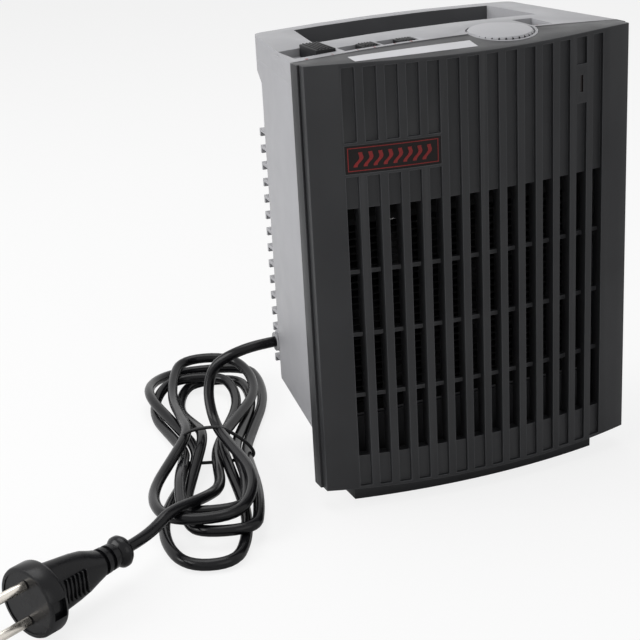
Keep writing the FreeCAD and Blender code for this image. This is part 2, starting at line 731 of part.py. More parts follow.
for name, (x, y, length, width, cap, travel) in CAPS.items():
    left, right = cap_span(x, length, cap)
    stem_left, stem_right = stem_span(x, length, cap)
    middle = f"({y} + {width} / 2)"
    cap_top = "(panel_high + cap_rise)"
    cap_block = box(f"{name}_cap", (left, right), (f"{y} + cap_gap", f"{y} + {width} - cap_gap"),
                    ("well_z + touch_gap", cap_top))
    stem = box(f"{name}_stem", (stem_left, stem_right),
               (f"{middle} - stem_width / 2", f"{middle} + stem_width / 2"),
               ("well_z - well_floor - stem_reach", "well_z + 1"))
    grip_cuts = [box(f"{name}_grip_{number}", (f"{left} + {number} * {cap} / 5 - 0.45",
                                               f"{left} + {number} * {cap} / 5 + 0.45"),
                     (y, f"{y} + {width}"), (f"{cap_top} - 0.8", f"{cap_top} + 1"))
                 for number in range(1, 5)]
    node(cut(f"{name}_slide", fuse(f"{name}_cap_and_stem", cap_block, stem),
             group(f"{name}_grips", grip_cuts)), f"{name}_slide")
    switch_top = "(well_z - well_floor)"
    case = box(f"{name}_switch_case", (f"{stem_left} - {travel} - 3", f"{stem_right} + 3"),
               (f"{middle} - stem_width / 2 - 2", f"{middle} + stem_width / 2 + 2"),
               (f"{switch_top} - switch_height", switch_top))
    channel = box(f"{name}_switch_channel", (f"{stem_left} - {travel} - cap_gap", f"{stem_right} + cap_gap"),
                  (f"{middle} - stem_width / 2 - cap_gap", f"{middle} + stem_width / 2 + cap_gap"),
                  (f"{switch_top} - stem_reach - touch_gap", f"{switch_top} + 1"))
    node(cut(f"{name}_switch", case, channel), f"{name}_switch")

# Rear grille: a frame of posts and ribs that carries hooked hoods; the cord enters its left post.

def louvre_profile(number):
    top = f"foot_height + louvre_low + {number} * louvre_pitch"
    return [("casing_depth + grille_band - 5", top), ("louvre_reach", f"{top}"),
            ("louvre_reach", f"{top} - louvre_lip"), ("louvre_reach - louvre_wall", f"{top} - louvre_lip"),
            ("louvre_reach - louvre_wall", f"{top} - louvre_wall"),
            ("casing_depth + grille_band - 5", f"{top} - 1.4 * louvre_wall")]


louvre_total = int(SIZES["louvre_count"])
hoods = [prism(f"louvre_{number}", "YZ_Plane", louvre_profile(number), "-grille_half", "grille_half")
         for number in range(louvre_total)]
frame_outer = box("grille_outer", ("-grille_half", "grille_half"),
                  ("casing_depth", "casing_depth + grille_band"), ("grille_low", "grille_high"))
frame_inner = box("grille_inner", ("-grille_half + grille_post", "grille_half - grille_post"),
                  ("casing_depth - 1", "casing_depth + grille_band + 1"),
                  ("grille_low + grille_post", "grille_high - grille_post"))
rib_step = "(2 * grille_half / (rib_count + 1))"
ribs = [box(f"grille_rib_{number}",
            (f"-grille_half + {number} * {rib_step} - grille_rib / 2",
             f"-grille_half + {number} * {rib_step} + grille_rib / 2"),
            ("casing_depth", "casing_depth + grille_band"), ("grille_low + 1", "grille_high - 1"))
        for number in range(1, int(SIZES["rib_count"]) + 1)]
entry_place = ("-grille_half", "entry_y", "foot_height + entry_z")
entry_boss = rod("entry_boss", "x", entry_place, "entry_boss", "entry_boss_length")
entry_bore = rod("entry_bore", "x", ("-grille_half - 1", "entry_y", "foot_height + entry_z"),
                 "grommet_sleeve", "entry_boss_length + 2")
node(cut("rear_grille",
         fuse("grille_solid", cut("grille_frame", frame_outer, frame_inner), *ribs, *hoods, entry_boss),
         entry_bore), "rear_grille")

# Foot: a skid along the front, with a tab at each end up to the panel, and a hollow pedestal.

skid = prism("foot_skid", "XY_Plane",
             [("-skid_width / 2", "skid_setback", "skid_bulge"), ("skid_width / 2", "skid_setback"),
              ("skid_width / 2", "skid_depth - 8"), ("pedestal_width / 2", "skid_depth + 6"),
              ("-pedestal_width / 2", "skid_depth + 6"), ("-skid_width / 2", "skid_depth - 8")],
             "pad_proud", "pad_proud + skid_height")
skid_hollow = prism("skid_hollow", "XY_Plane",
                    [("-skid_width / 2 + 14", "skid_setback + 3", "skid_bulge"),
                     ("skid_width / 2 - 14", "skid_setback + 3"),
                     ("pedestal_width / 2 - 3", "skid_depth - 3"),
                     ("-pedestal_width / 2 + 3", "skid_depth - 3")],
                    "0", "pad_proud + skid_height - wall")
pedestal = box("pedestal_block", ("-pedestal_width / 2", "pedestal_width / 2"),
               ("skid_depth", "pedestal_depth"), ("pad_proud", "casing_low"))
pedestal_hollow = box("pedestal_hollow", ("-pedestal_width / 2 + wall", "pedestal_width / 2 - wall"),
                      ("skid_depth + wall", "pedestal_depth - wall"), ("0", "casing_low - 3"))
tabs = [box(f"skid_tab_{number}", span, ("skid_setback", "bezel_depth"), ("pad_proud + 1", "panel_low"))
        for number, span in enumerate((("-skid_width / 2", "-skid_width / 2 + tab_width"),
                                       ("skid_width / 2 - tab_width", "skid_width / 2")))]
pad_places = [(x, y) for x, y in (("-skid_width / 2 + 7.5", "skid_setback + 6.5"),
                                  ("skid_width / 2 - 7.5", "skid_setback + 6.5"),
                                  ("-pedestal_width / 2 + 7.5", "pedestal_depth - 7.5"),
                                  ("pedestal_width / 2 - 7.5", "pedestal_depth - 7.5"))]
pad_bosses = [rod(f"pad_boss_{number}", "z", (x, y, "pad_proud"), "pad_radius + 1.8", "4")
              for number, (x, y) in enumerate(pad_places[2:])]
pad_sockets = group("pad_sockets", [
    rod(f"pad_socket_{number}", "z", (x, y, "0"), "pad_radius", "pad_thickness")
    for number, (x, y) in enumerate(pad_places)])
foot_screw_wells = group("foot_screw_wells", [
    rod(f"foot_screw_well_{number}", "z", (x, y, "casing_low - 4"), "screw_radius + 0.2", "5")
    for number, (x, y) in enumerate(foot_screw_places)])
node(cut("base_foot",
         fuse("foot_solid", cut("foot_hollowed", fuse("foot_outer", skid, pedestal, *tabs),
                                skid_hollow, pedestal_hollow), *pad_bosses),
         pad_sockets, foot_screw_wells, band, faces_body), "base_foot")
node(group("rubber_pads", [rod(f"rubber_pad_{number}", "z", (x, y, "0"), "pad_radius", "pad_thickness")
                           for number, (x, y) in enumerate(pad_places)]), "rubber_pads")


def screw(name, axis, place, outward, length="screw_length"):
    """A pan-head screw; its head sits at the place, on the side that outward names."""
    index = "xyz".index(axis)
    head_start = list(place)
    head_start[index] = f"{place[index]} - ({'screw_head_height' if outward < 0 else '0'})"
    shank_start = list(place)
    shank_start[index] = f"{place[index]} - ({'0.5' if outward < 0 else length})"
    return fuse(name, rod(name + "_head", axis, head_start, "screw_head", "screw_head_height"),
                rod(name + "_shank", axis, shank_start, "screw_radius", f"{length} + 0.5"))


node(group("casing_screws", [
    screw(f"casing_screw_{number}", "y", (f"{sign}{screw_x}", "bezel_depth - lug_thickness", height), -1)
    for number, (sign, height) in enumerate(corner_places)]), "casing_screws")
node(group("foot_screws", [
    screw(f"foot_screw_{number}", "z", (x, y, "casing_low - 3"), -1, "3 + wall - touch_gap")
    for number, (x, y) in enumerate(foot_screw_places)]), "foot_screws")

# Heating block: a frame that holds upright ceramic stones between stacks of aluminium fins.

frame_block = box("heater_block", ("-heater_width / 2", "heater_width / 2"), ("heater_front", "heater_rear"),
                  ("heater_low", "heater_low + heater_height"))
frame_window = box("heater_window", ("-heater_width / 2 + heater_rim", "heater_width / 2 - heater_rim"),
                   ("heater_front - 1", "heater_rear + 1"),
                   ("heater_low + heater_rim", "heater_low + heater_height - heater_rim"))
node(cut("heater_frame", frame_block, frame_window), "heater_frame")
core_width = "(heater_width - 2 * heater_rim)"
fin_width = f"(({core_width} - stone_count * stone_width) / (stone_count + 1))"
core_low = "(heater_low + heater_rim)"
core_high = "(heater_low + heater_height - heater_rim)"
node(group("ptc_stones", [
    box(f"ptc_stone_{number}",
        (f"-{core_width} / 2 + {number + 1} * {fin_width} + {number} * stone_width",
         f"-{core_width} / 2 + {number + 1} * ({fin_width} + stone_width)"),
        ("heater_front + 1", "heater_rear - 1"), (core_low, core_high))
    for number in range(int(SIZES["stone_count"]))]), "ptc_stones")
fins = doc.addObject("PartDesign::Body", "heater_fins")
stack_left = f"-{core_width} / 2"
stack_sketch = sketch_on(fins, "fin_stack_outline", "XZ_Plane",
                         [(stack_left, core_low), (f"{stack_left} + {fin_width}", core_low),
                          (f"{stack_left} + {fin_width}", core_high), (stack_left, core_high)],
                         "heater_front + 2")
pad(fins, stack_sketch, "XZ_Plane", "heater_depth - 4")
gap_sketch = sketch_on(fins, "fin_gap_outline", "XZ_Plane",
                       [(f"{stack_left} + fin_strip", f"{core_low} + fin_thickness"),
                        (f"{stack_left} + {fin_width} + 1", f"{core_low} + fin_thickness"),
                        (f"{stack_left} + {fin_width} + 1", f"{core_low} + fin_pitch"),
                        (f"{stack_left} + fin_strip", f"{core_low} + fin_pitch")],
                       "heater_front + 2")
fin_gap = fins.newObject("PartDesign::Pocket", "fin_gap")
fin_gap.Profile = gap_sketch
fin_gap.Type = "ThroughAll"
fin_gap.Midplane = True
fin_count = f"floor(({core_high} - {core_low} - fin_thickness) / fin_pitch)"
fin_gaps = fins.newObject("PartDesign::LinearPattern", "fin_gaps")
fin_gaps.Originals = [fin_gap]
fin_gaps.Direction = (origin_part(fins, "Z_Axis"), [""])
bind(fin_gaps, {"Occurrences": fin_count, "Length": f"({fin_count} - 1) * fin_pitch"})
fins.Tip = fin_gaps
stack_copies = [fins]
for number in range(1, int(SIZES["stone_count"]) + 1):
    copy = doc.addObject("Part::Compound", f"fin_stack_{number}")
    copy.Links = [fins]
    bind(copy, {"Placement.Base.x": f"{number} * ({fin_width} + stone_width)"})
    stack_copies.append(copy)
fins.Label = "fin_stack_0"
node(group("fin_stacks", stack_copies), "heater_fins")

# Fan: shroud, bracket, motor and a rotor of hub, shaft and twisted blades.

shroud_outer = box("shroud_outer", ("-shroud_half", "shroud_half"), ("heater_front", "shroud_rear"),
                   ("floor_z", "shroud_high"))
shroud_room = box("shroud_room", ("-shroud_half + shroud_wall", "shroud_half - shroud_wall"),
                  ("heater_front - 1", "shroud_rear - shroud_wall"),
                  ("floor_z + shroud_wall", "shroud_high - shroud_wall"))
shroud_ring = rod("shroud_ring", "y", ("0", "rotor_y - 4", "rotor_z"), "fan_radius + tip_gap + shroud_wall",
                  "hub_length + shroud_wall + 4")
shroud_bore = rod("shroud_bore", "y", ("0", "rotor_y - 5", "rotor_z"), "fan_radius + tip_gap",
                  "hub_length + 2 * shroud_wall + 10")
arm_rear = "(shroud_rear + arm_thickness)"
BRACKET_CORNERS = [(sign_x, sign_z) for sign_x in ("-", "") for sign_z in ("-", "")]
bracket_reach = "(fan_radius + tip_gap + 4)"
shroud_holes = group("shroud_holes", [
    rod(f"shroud_hole_{number}", "y",
        (f"{sign_x}{bracket_reach} * cos(45deg)", "shroud_rear - shroud_wall - 1",
         f"rotor_z + {sign_z}1 * {bracket_reach} * sin(45deg)"), "screw_radius", "shroud_wall + 2")
    for number, (sign_x, sign_z) in enumerate(BRACKET_CORNERS)])
node(cut("fan_shroud", fuse("shroud_solid", cut("shroud_shell", shroud_outer, shroud_room), shroud_ring),
         shroud_bore, shroud_holes), "fan_shroud")
arms = []
for number, turn in enumerate((45, 135)):
    arm = box(f"bracket_arm_{number}", ("0", "0"), ("0", "0"), ("0", "0"))
    arm.setExpression("Placement.Base.x", formula(
        f"-({bracket_reach} + 4) * cos({turn}deg) - arm_width / 2 * sin({turn}deg) * -1"))
    bind(arm, {"Length": f"2 * ({bracket_reach} + 4)", "Width": "arm_thickness", "Height": "arm_width"})
    arm.Placement.Rotation = Rotation(Vector(0, 1, 0), -turn)
    bind(arm, {
        "Placement.Base.x": f"-({bracket_reach} + 4) * cos({turn}deg) + arm_width / 2 * sin({turn}deg)",
        "Placement.Base.y": "shroud_rear",
        "Placement.Base.z": (f"rotor_z - ({bracket_reach} + 4) * sin({turn}deg)"
                             f" - arm_width / 2 * cos({turn}deg)"),
    })
    arms.append(arm)
bracket_disc = rod("bracket_disc", "y", ("0", "shroud_rear", "rotor_z"), "motor_radius", "arm_thickness")
bracket_holes = group("bracket_holes", [
    rod(f"bracket_hole_{number}", "y",
        (f"{sign_x}{bracket_reach} * cos(45deg)", "shroud_rear - 1",
         f"rotor_z + {sign_z}1 * {bracket_reach} * sin(45deg)"), "screw_radius", "arm_thickness + 2")
    for number, (sign_x, sign_z) in enumerate(BRACKET_CORNERS)])
bracket_bore = rod("bracket_bore", "y", ("0", "shroud_rear - 1", "rotor_z"), "shaft_radius + 1",
                   "arm_thickness + 2")
node(cut("motor_bracket", fuse("bracket_solid", *arms, bracket_disc), bracket_holes, bracket_bore),
     "motor_bracket")
node(group("motor_screws", [
    screw(f"motor_screw_{number}", "y",
          (f"{sign_x}{bracket_reach} * cos(45deg)", arm_rear,
           f"rotor_z + {sign_z}1 * {bracket_reach} * sin(45deg)"), 1)
    for number, (sign_x, sign_z) in enumerate(BRACKET_CORNERS)]), "motor_screws")
motor_case = rod("motor_case", "y", ("0", arm_rear, "rotor_z"), "motor_radius", "motor_length")
motor_bore = rod("motor_bore", "y", ("0", f"{arm_rear} - 1", "rotor_z"), "shaft_radius + running_fit",
                 "motor_length - 1")
node(cut("fan_motor", motor_case, motor_bore), "fan_motor")
node(rod("motor_shaft", "y", ("0", "rotor_y + 2", "rotor_z"), "shaft_radius",
         f"{arm_rear} - rotor_y - 2 + motor_length - 4"), "motor_shaft")


def blade_section(name, reach, chord, angle):
    """A flat blade section, square to the blade's length and pitched against the fan's axis."""
    section = sketch_on(rotor, name, "YZ_Plane",
                        [(f"-{chord} / 2", "-blade_thickness / 2"), (f"{chord} / 2", "-blade_thickness / 2"),
                         (f"{chord} / 2", "blade_thickness / 2"), (f"-{chord} / 2", "blade_thickness / 2")],
                        reach)
    section.AttachmentOffset = Placement(Vector(0, 0, 0), Rotation(Vector(0, 0, 1), 30))
    bind(section, {"AttachmentOffset.Rotation.Angle": angle})
    return section


rotor = doc.addObject("PartDesign::Body", "fan_rotor")
hub_sketch = sketch_on(rotor, "hub_profile", "XY_Plane",
                       [("0", "-hub_length / 2"), ("hub_radius - 3", "-hub_length / 2", "2"),
                        ("hub_radius", "-hub_length / 2 + 5"), ("hub_radius", "hub_length / 2"),
                        ("0", "hub_length / 2")], "0")
hub = rotor.newObject("PartDesign::Revolution", "hub")
hub.Profile = hub_sketch
hub.ReferenceAxis = (origin_part(rotor, "Y_Axis"), [""])
hub.Angle = 360
root_section = blade_section("blade_root", "hub_radius - 3", "blade_root_chord", "blade_root_angle")
tip_section = blade_section("blade_tip", "fan_radius", "blade_tip_chord", "blade_tip_angle")
blade = rotor.newObject("PartDesign::AdditiveLoft", "blade")
blade.Profile = root_section
blade.Sections = [tip_section]
blade.Ruled = True
blades = rotor.newObject("PartDesign::PolarPattern", "blades")
blades.Originals = [blade]
blades.Axis = (origin_part(rotor, "Y_Axis"), [""])
blades.Angle = 360
bind(blades, {"Occurrences": "blade_count"})
rotor.Tip = blades
bind(rotor, {"Placement.Base.y": "rotor_y + hub_length / 2", "Placement.Base.z": "rotor_z"})
node(cut("fan_impeller", rotor, rod("hub_bore", "y", ("0", "rotor_y + 2", "rotor_z"), "shaft_radius",
                                    "hub_length + 2")), "fan_impeller")

# Small inner pieces on the shroud and on the casing's floor.

node(rod("thermal_cutout", "z", ("shroud_half / 2", "heater_rear", "shroud_high"), "cutout_radius",
         "cutout_height"), "thermal_cutout")
node(box("tilt_switch", ("pedestal_width / 2", "pedestal_width / 2 + tilt_size"),
         ("shroud_rear + 6", "shroud_rear + 6 + tilt_size"), ("floor_z", "floor_z + tilt_height")),
     "tilt_switch")
node(box("terminal_block", ("-pedestal_width / 2 - terminal_length", "-pedestal_width / 2"),
         ("shroud_rear + 8", "shroud_rear + 8 + terminal_width"), ("floor_z", "floor_z + terminal_height")),
     "terminal_block")

# Cord: grommet, the stretch to the hank, the hank held by a tie, and the stretch to the plug.

grommet_outside = rod("grommet_outside", "x",
                      ("-grille_half - grommet_flange_length", "entry_y", "foot_height + entry_z"),
                      "grommet_flange", "grommet_flange_length")
grommet_sleeve = rod("grommet_inside", "x", ("-grille_half - 1", "entry_y", "foot_height + entry_z"),
                     "grommet_sleeve", "entry_boss_length + 1")
node(fuse("cord_grommet", grommet_outside, grommet_sleeve), "cord_grommet")

shift = Vector(0, -value("plane_y"), 0)
exit_point = Vector(value("-grille_half - grommet_flange_length"), value("entry_y"),
                    value("foot_height + entry_z"))
# The cord's points are places in the heater's own frame.
LEAD = [(-94, 51.5, 64.5), (-107, 56, 59), (-115, 66, 48), (-117.5, 79, 35), (-118, 88, 22)]
TAIL = [(-184, -50, 19), (-192, -58.5, 18.8)]


def tube(name, points, radius):
    """Straight runs joined by arcs as large as the runs allow, swept with the cord's section."""
    edges = []
    last = points[0]
    radii = []
    for before, corner, after in zip(points, points[1:], points[2:]):
        to_start = before - corner
        to_end = after - corner
        turn = (corner - before).getAngle(after - corner)
        reach = 0.45 * min(to_start.Length, to_end.Length)
        to_start.normalize()
        to_end.normalize()
        bend = reach / (turn_tangent(turn))
        radii.append(round(bend, 1))
        arc_start = corner + to_start * reach
        arc_end = corner + to_end * reach
        inward = (to_start + to_end).normalize()
        centre = corner + inward * (bend ** 2 + reach ** 2) ** 0.5
        arc_middle = centre - inward * bend
        edges.append(Part.LineSegment(last, arc_start).toShape())
        edges.append(Part.Arc(arc_start, arc_middle, arc_end).toShape())
        last = arc_end
    edges.append(Part.LineSegment(last, points[-1]).toShape())
    path = Part.Wire(edges)
    first = (points[1] - points[0]).normalize()
    section = Part.Wire(Part.Circle(points[0], first, radius).toShape())
    solid = path.makePipeShell([section], True, False)
    expected = 3.14159265 * radius ** 2 * path.Length
    print(name, "radii", radii, "length", round(path.Length, 1), "volume ratio",
          round(solid.Volume / expected, 4))
    return solid


def turn_tangent(turn):
    """Tangent of half the turn between two runs."""
    half = Vector(1, 0, 0)
    half = Rotation(Vector(0, 0, 1), turn * 90 / 3.14159265).multVec(half)
    return half.y / half.x


hank_corners = [
    ("-103", "52", "-1"), ("-60", "112", "5"), ("-56", "150", "38"), ("-128", "150", "3"),
    ("-151", "53", "4"), ("-197", "-78", "26"), ("-150", "-80", "-3"),
]
hank = doc.addObject("PartDesign::Body", "hank")
hank_sketch = sketch_on(hank, "hank_outline", "XY_Plane", hank_corners, "0")
pad(hank, hank_sketch, "XY_Plane", "hank_height")
tie_box = box("tie_outside", ("-153 - tie_thickness", "-100 + tie_thickness"),
              ("52 - tie_width / 2", "52 + tie_width / 2"), ("0", "hank_height + tie_thickness"))
tie_hole = box("tie_inside", ("-153", "-100"), ("52 - tie_width", "52 + tie_width"),
               ("tie_thickness", "hank_height"))
tie = cut("cord_tie", tie_box, tie_hole)
tie.Label = "cord_tie"
nodes.append(tie)
cord_hank = cut("cord_hank", hank, tie)
cord_hank.Label = "cord_hank"
nodes.append(cord_hank)


def cord_solid(label, points):
    piece = doc.addObject("Part::Feature", label)
    piece.Shape = tube(label, points, value("cord_diameter / 2"))
    piece.Label = label
    nodes.append(piece)


doc.recompute()
lead_points = [exit_point - shift, *[Vector(*point) for point in LEAD]]
lead_points[1].y = lead_points[0].y
lead_points[1].z = lead_points[0].z
cord_solid("cord_lead", lead_points)

# Plug: a round two-pin earthed plug that lies on its rim, pins one above the other.

plug_start = Vector(-212, -72.5, value("plug_radius"))
plug_way = Vector(-0.875, -0.485, 0).normalize()
plug_turn = Rotation(Vector(0, 0, 1), plug_way)
cord_solid("cord_tail", [*[Vector(*point) for point in TAIL], plug_start - plug_way * 9, plug_start])
plug = doc.addObject("PartDesign::Body", "plug_body")
plug_sketch = sketch_on(plug, "plug_profile", "XZ_Plane",
                        [("0", "0"), ("8", "0", "1"), ("8", "5"), ("5.5", "8"), ("7", "20"), ("11", "30"),
                         ("13", "45"), ("plug_radius", "50"), ("plug_radius", "plug_length"),
                         ("0", "plug_length")], "0")
plug_revolve = plug.newObject("PartDesign::Revolution", "plug_revolve")
plug_revolve.Profile = plug_sketch
plug_revolve.ReferenceAxis = (origin_part(plug, "Z_Axis"), [""])
plug_revolve.Angle = 360
plug.Placement = Placement(plug_start, plug_turn)
nodes.append(plug)
pins = []
for sign in (-1, 1):
    pin = doc.addObject("Part::Cylinder", f"plug_pin_{sign + 1}")
    bind(pin, {"Radius": "pin_radius", "Height": "pin_length"})
    pin.Placement = Placement(plug_start + plug_way * value("plug_length")
                              + Vector(0, 0, sign * value("pin_spacing / 2")), plug_turn)
    pins.append(pin)
plug_pins = group("plug_pins", pins)
nodes.append(plug_pins)

doc.recompute()
broken = [obj.Name for obj in doc.Objects if "Invalid" in obj.State or "Error" in obj.State]
if broken:
    raise RuntimeError("these objects failed: " + ", ".join(broken))
for piece in nodes:
    if piece.Shape.isNull() or not piece.Shape.isValid():
        raise RuntimeError(piece.Label + " has no valid shape")
for piece in nodes:
    piece.Shape.exportStep(f"parts/{piece.Label}.step")
print(len(nodes), "pieces written")
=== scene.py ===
"""Ceramic fan heater: the finishes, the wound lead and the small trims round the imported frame.

Lengths are in metres unless a comment says millimetres. The axes are the frame's own: +Z is up and the
front faces -Y.
"""

import json
import math

import bpy
from mathutils import Matrix, Vector


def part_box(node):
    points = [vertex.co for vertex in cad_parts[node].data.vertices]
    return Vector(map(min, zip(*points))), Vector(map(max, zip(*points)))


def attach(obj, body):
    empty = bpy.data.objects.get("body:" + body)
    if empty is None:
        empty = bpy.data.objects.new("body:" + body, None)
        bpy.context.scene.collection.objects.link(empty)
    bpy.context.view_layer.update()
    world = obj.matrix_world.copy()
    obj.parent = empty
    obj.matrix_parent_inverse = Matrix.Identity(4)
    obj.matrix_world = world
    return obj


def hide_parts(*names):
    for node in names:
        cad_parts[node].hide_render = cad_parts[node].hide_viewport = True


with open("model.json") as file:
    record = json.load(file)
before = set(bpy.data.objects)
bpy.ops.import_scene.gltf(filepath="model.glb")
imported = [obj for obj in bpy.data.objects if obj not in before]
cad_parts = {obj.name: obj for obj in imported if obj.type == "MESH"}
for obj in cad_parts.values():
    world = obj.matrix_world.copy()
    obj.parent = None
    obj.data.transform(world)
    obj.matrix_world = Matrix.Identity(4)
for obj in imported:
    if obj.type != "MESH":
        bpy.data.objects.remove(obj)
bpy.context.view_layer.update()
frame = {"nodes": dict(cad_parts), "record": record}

bl_info = {
    "name": "Ceramic Heater Finishes",
    "version": (1, 0, 0),
    "blender": (4, 5, 0),
    "location": "3D View > Sidebar > Heater",
    "description": "Finishes, lead, badge and stage for a ceramic fan heater",
    "category": "Object",
}

MM = 0.001

# The lead's route, in millimetres: out of the heater, down to the hank, and from the hank to the plug.
LEAD_POINTS = [
    (-81.2, 51.45, 64.5), (-94, 51.45, 64.5), (-107, 55, 60.5), (-115, 61.5, 54), (-119.5, 64, 45),
    (-122.5, 60.5, 33),
]
TAIL_POINTS = [
    (-131.5, 23, 7.5), (-139.5, -8, 9), (-155.5, -32, 16.5), (-181, -50, 22.5), (-192, -58.5, 18.8),
    (-204, -68.1, 18.5), (-212, -72.5, 18.5),
]
# The hank's waist, where the tie holds it, and the direction it lies in.
WAIST = Vector((-124, 48, 0))
ALONG = Vector((0.3, 0.954, 0)).normalized()
ACROSS = Vector((ALONG.y, -ALONG.x, 0))
# How a loop of the hank opens: (share of its reach, share of its spread), from the waist to its end.
LOOP_SHAPE = [(0.27, 0.45), (0.58, 0.98), (0.84, 0.92), (1.03, 0.4)]
# Each turn of the hank, in millimetres. near and far are (reach, right side, left side) of the loop
# on each side of the waist, waist is where it passes there: (coming in, going back, leaving), and
# heights are those of its line at the waist, side, end, side, waist, side, end, side and waist.
TURNS = [
    {"near": (107, 20, -36), "far": (116, 27, -26), "waist": (1, -15, 2),
     "heights": (20, 19.5, 16, 12.5, 18.5, 11.5, 18.5, 11, 11.5)},
    {"near": (134, 15, -31), "far": (126, 32, -42), "waist": (2, -9, 17),
     "heights": (11.5, 3.5, 3.5, 3.5, 4, 13.5, 6.5, 3.5, 3.5)},
    {"near": (110, 22, -19), "far": (113, 24, -22), "waist": (17, -6, 11),
     "heights": (3.5, 9, 9.5, 3.5, 17, 3.5, 3.5, 3.5, 6.5)},
    {"near": (92, 16, -21), "far": (104, 15, -38), "waist": (11, -18, 0),
     "heights": (6.5, 12, 12.5, 14.5, 5, 3.5, 10, 6.5, 5)},
]
# How far before the waist the tie lies, in millimetres.
TIE_ALONG = -8
# The tie's ring, in millimetres: the (distance across the waist, height) of its points, and its radius.
TIE_RING = [
    (-22, 4), (-21.5, 15), (-17, 22.5), (3, 24.2), (12, 17.5), (20, 10.5), (23, 3), (15, 1.1), (-15, 1.1),
]
TIE_RADIUS = 1.0
# The tie's twisted ends: half their width, thickness and length in millimetres, and their twist in degrees.
TWIST_HALVES = (1.1, 0.6, 6)
TWIST_TURN = 800
# The handle recess in the cover, in metres: its half width, its front wall and the depth of its rim.
RECESS_HALF = 0.067
RECESS_FRONT = 0.002
RECESS_RIM = 0.0025
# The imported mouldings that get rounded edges, each with its share of the common radius.
EASED = {
    "front_panel": 1, "front_bezel": 1.2, "body_casing": 1.5, "top_cover": 1.6, "rear_grille": 1,
    "base_foot": 1.2, "thermostat_knob": 0.7,
}
# The slides' caps, in millimetres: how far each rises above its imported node, and of them all the height,
# the edge radius, and the stem's half width and edge radius.
CAP_RISE = {"power_slide": 1.8, "heat_slide": 1.2, "fan_slide": 1.2}
CAP_HEIGHT = 6.5
CAP_ROUND = 0.5
STEM_HALF = 1.5
STEM_ROUND = 0.2
# A cap's finger ribs: their number, and in millimetres their half width, their rise over the cap, their
# depth in it, their distance from its ends and their edge radius.
CAP_RIBS = 5
RIB_HALF = 0.45
RIB_RISE = 0.45
RIB_SINK = 0.3
RIB_MARGIN = 0.9
RIB_ROUND = 0.25
# The badge's border, in millimetres: how much smaller it is than the plate, and its line's width and
# thickness.
BORDER_LESS = (3, 2.4)
BORDER_LINE = 0.45
BORDER_THICK = 0.12
# The badge's heat strokes, in millimetres: the first one's place on the plate, its foot's size, their
# pitch and thickness, and their number.
STROKE_PLACE = (5.4, 3.6)
STROKE_SIZE = (2.0, 0.5)
STROKE_PITCH = 5.1
STROKE_THICK = 0.15
STROKE_COUNT = 8
# Each stroke goes up in steps, in millimetres: their number, rise, lean, and sway to and fro.
STROKE_STEPS = 12
STROKE_RISE = 0.58
STROKE_LEAN = 0.22
STROKE_SWAY = 0.42
# The foil label on the panel's sloping top: its centre, size and thickness in millimetres, and its turn
# in degrees.
LABEL_CENTRE = (-32.5, -47.5)
LABEL_SIZE = (67, 9.5)
LABEL_THICK = 0.08
LABEL_TURN = -1.0
# The figures on the deck, in millimetres: (name, text, place, height), and their thickness.
DECK_MARKS = [
    ("mark_off", "0", (-84, -32.6), 3.2), ("mark_on", "I", (-70, -32.6), 3.2),
    ("mark_low", "1", (-56, -32.6), 3.2), ("mark_high", "2", (-47, -32.6), 3.2),
    ("mark_slow", "1", (-35.5, -32.6), 3.2), ("mark_fast", "2", (-26.5, -32.6), 3.2),
    ("mark_knob", "0", (46.6, -31), 3.6),
]
MARK_THICK = 0.06
# How far over a surface a flat print starts, how far it may be projected, and its gap to it, in metres.
PRINT_START = 0.003
PRINT_REACH = 0.02
PRINT_GAP = 0.00004
# The plug from the cord's end to its face, in millimetres: (distance, half width, half height).
PLUG_STATIONS = [
    (0.4, 5.6, 5.6), (1.2, 7.2, 7.2), (3, 8.4, 8.4), (5, 8.4, 8.4), (6.8, 7.2, 7.2), (7.8, 5.7, 5.7),
    (9.5, 5.7, 5.7), (9.7, 6.7, 6.7), (12.2, 6.8, 6.8), (12.4, 5.5, 5.5), (14.4, 5.6, 5.6), (14.6, 7, 7),
    (17.2, 7.1, 7.1), (17.4, 5.7, 5.7), (19.4, 5.8, 5.8), (19.6, 7.3, 7.5), (24, 7.6, 9.2), (29, 7.8, 11.4),
    (36, 8, 13), (44, 8.2, 14.2), (51, 8.6, 15.2), (54.6, 9.2, 15.8), (55, 17.2, 17.2), (55.8, 18.2, 18.2),
    (57, 18.5, 18.5), (64.6, 18.5, 18.5), (65.6, 18.1, 18.1), (66, 17.3, 17.3),
]
PLUG_SIDES = 72
# The plug's face: its rim's width and the depth of the middle, in millimetres.
FACE_RIM = 1.2
FACE_DEPTH = 0.5
# The notches in the sides of the plug's face: where they start and end along the plug, their half
# width, how far out they lie and their depth, in millimetres.
NOTCH_FROM = 57
NOTCH_TO = 64.6
NOTCH_HALF = 4.2
NOTCH_OUT = 17
NOTCH_DEPTH = 2.6
# The ribs on the plug's grip: their number on each flat, their distance from its axis, the first one's
# place, their pitch, size and edge radius, in millimetres.
GRIP_RIBS = 6
GRIP_RIB_OUT = 8.2
GRIP_RIB_START = 34
GRIP_RIB_PITCH = 2.6
GRIP_RIB_SIZE = Vector((1.6, 13, 1.1))
GRIP_RIB_ROUND = 0.45
# A noise pattern keeps between about these two values.
NOISE_LOW = 0.3
NOISE_HIGH = 0.7
# How far a rounded normal may lean from the true one before an edge gets its painted highlight, and where the
# highlight is full, as cosines.
EDGE_HIGHLIGHT_START = 0.985
EDGE_HIGHLIGHT_FULL = 0.88
# How many times lighter than its own plastic the knob is, and than the panel's the painted edge highlights
# and the painted shade of the recess are.
KNOB_LIGHTER = 1.12
EDGE_HIGHLIGHT_LIGHTER = 3.2
RECESS_SHADE_LIGHTER = 2
# How far in from the knob's rim its hollows start, in metres.
FLUTE_START = 0.00012
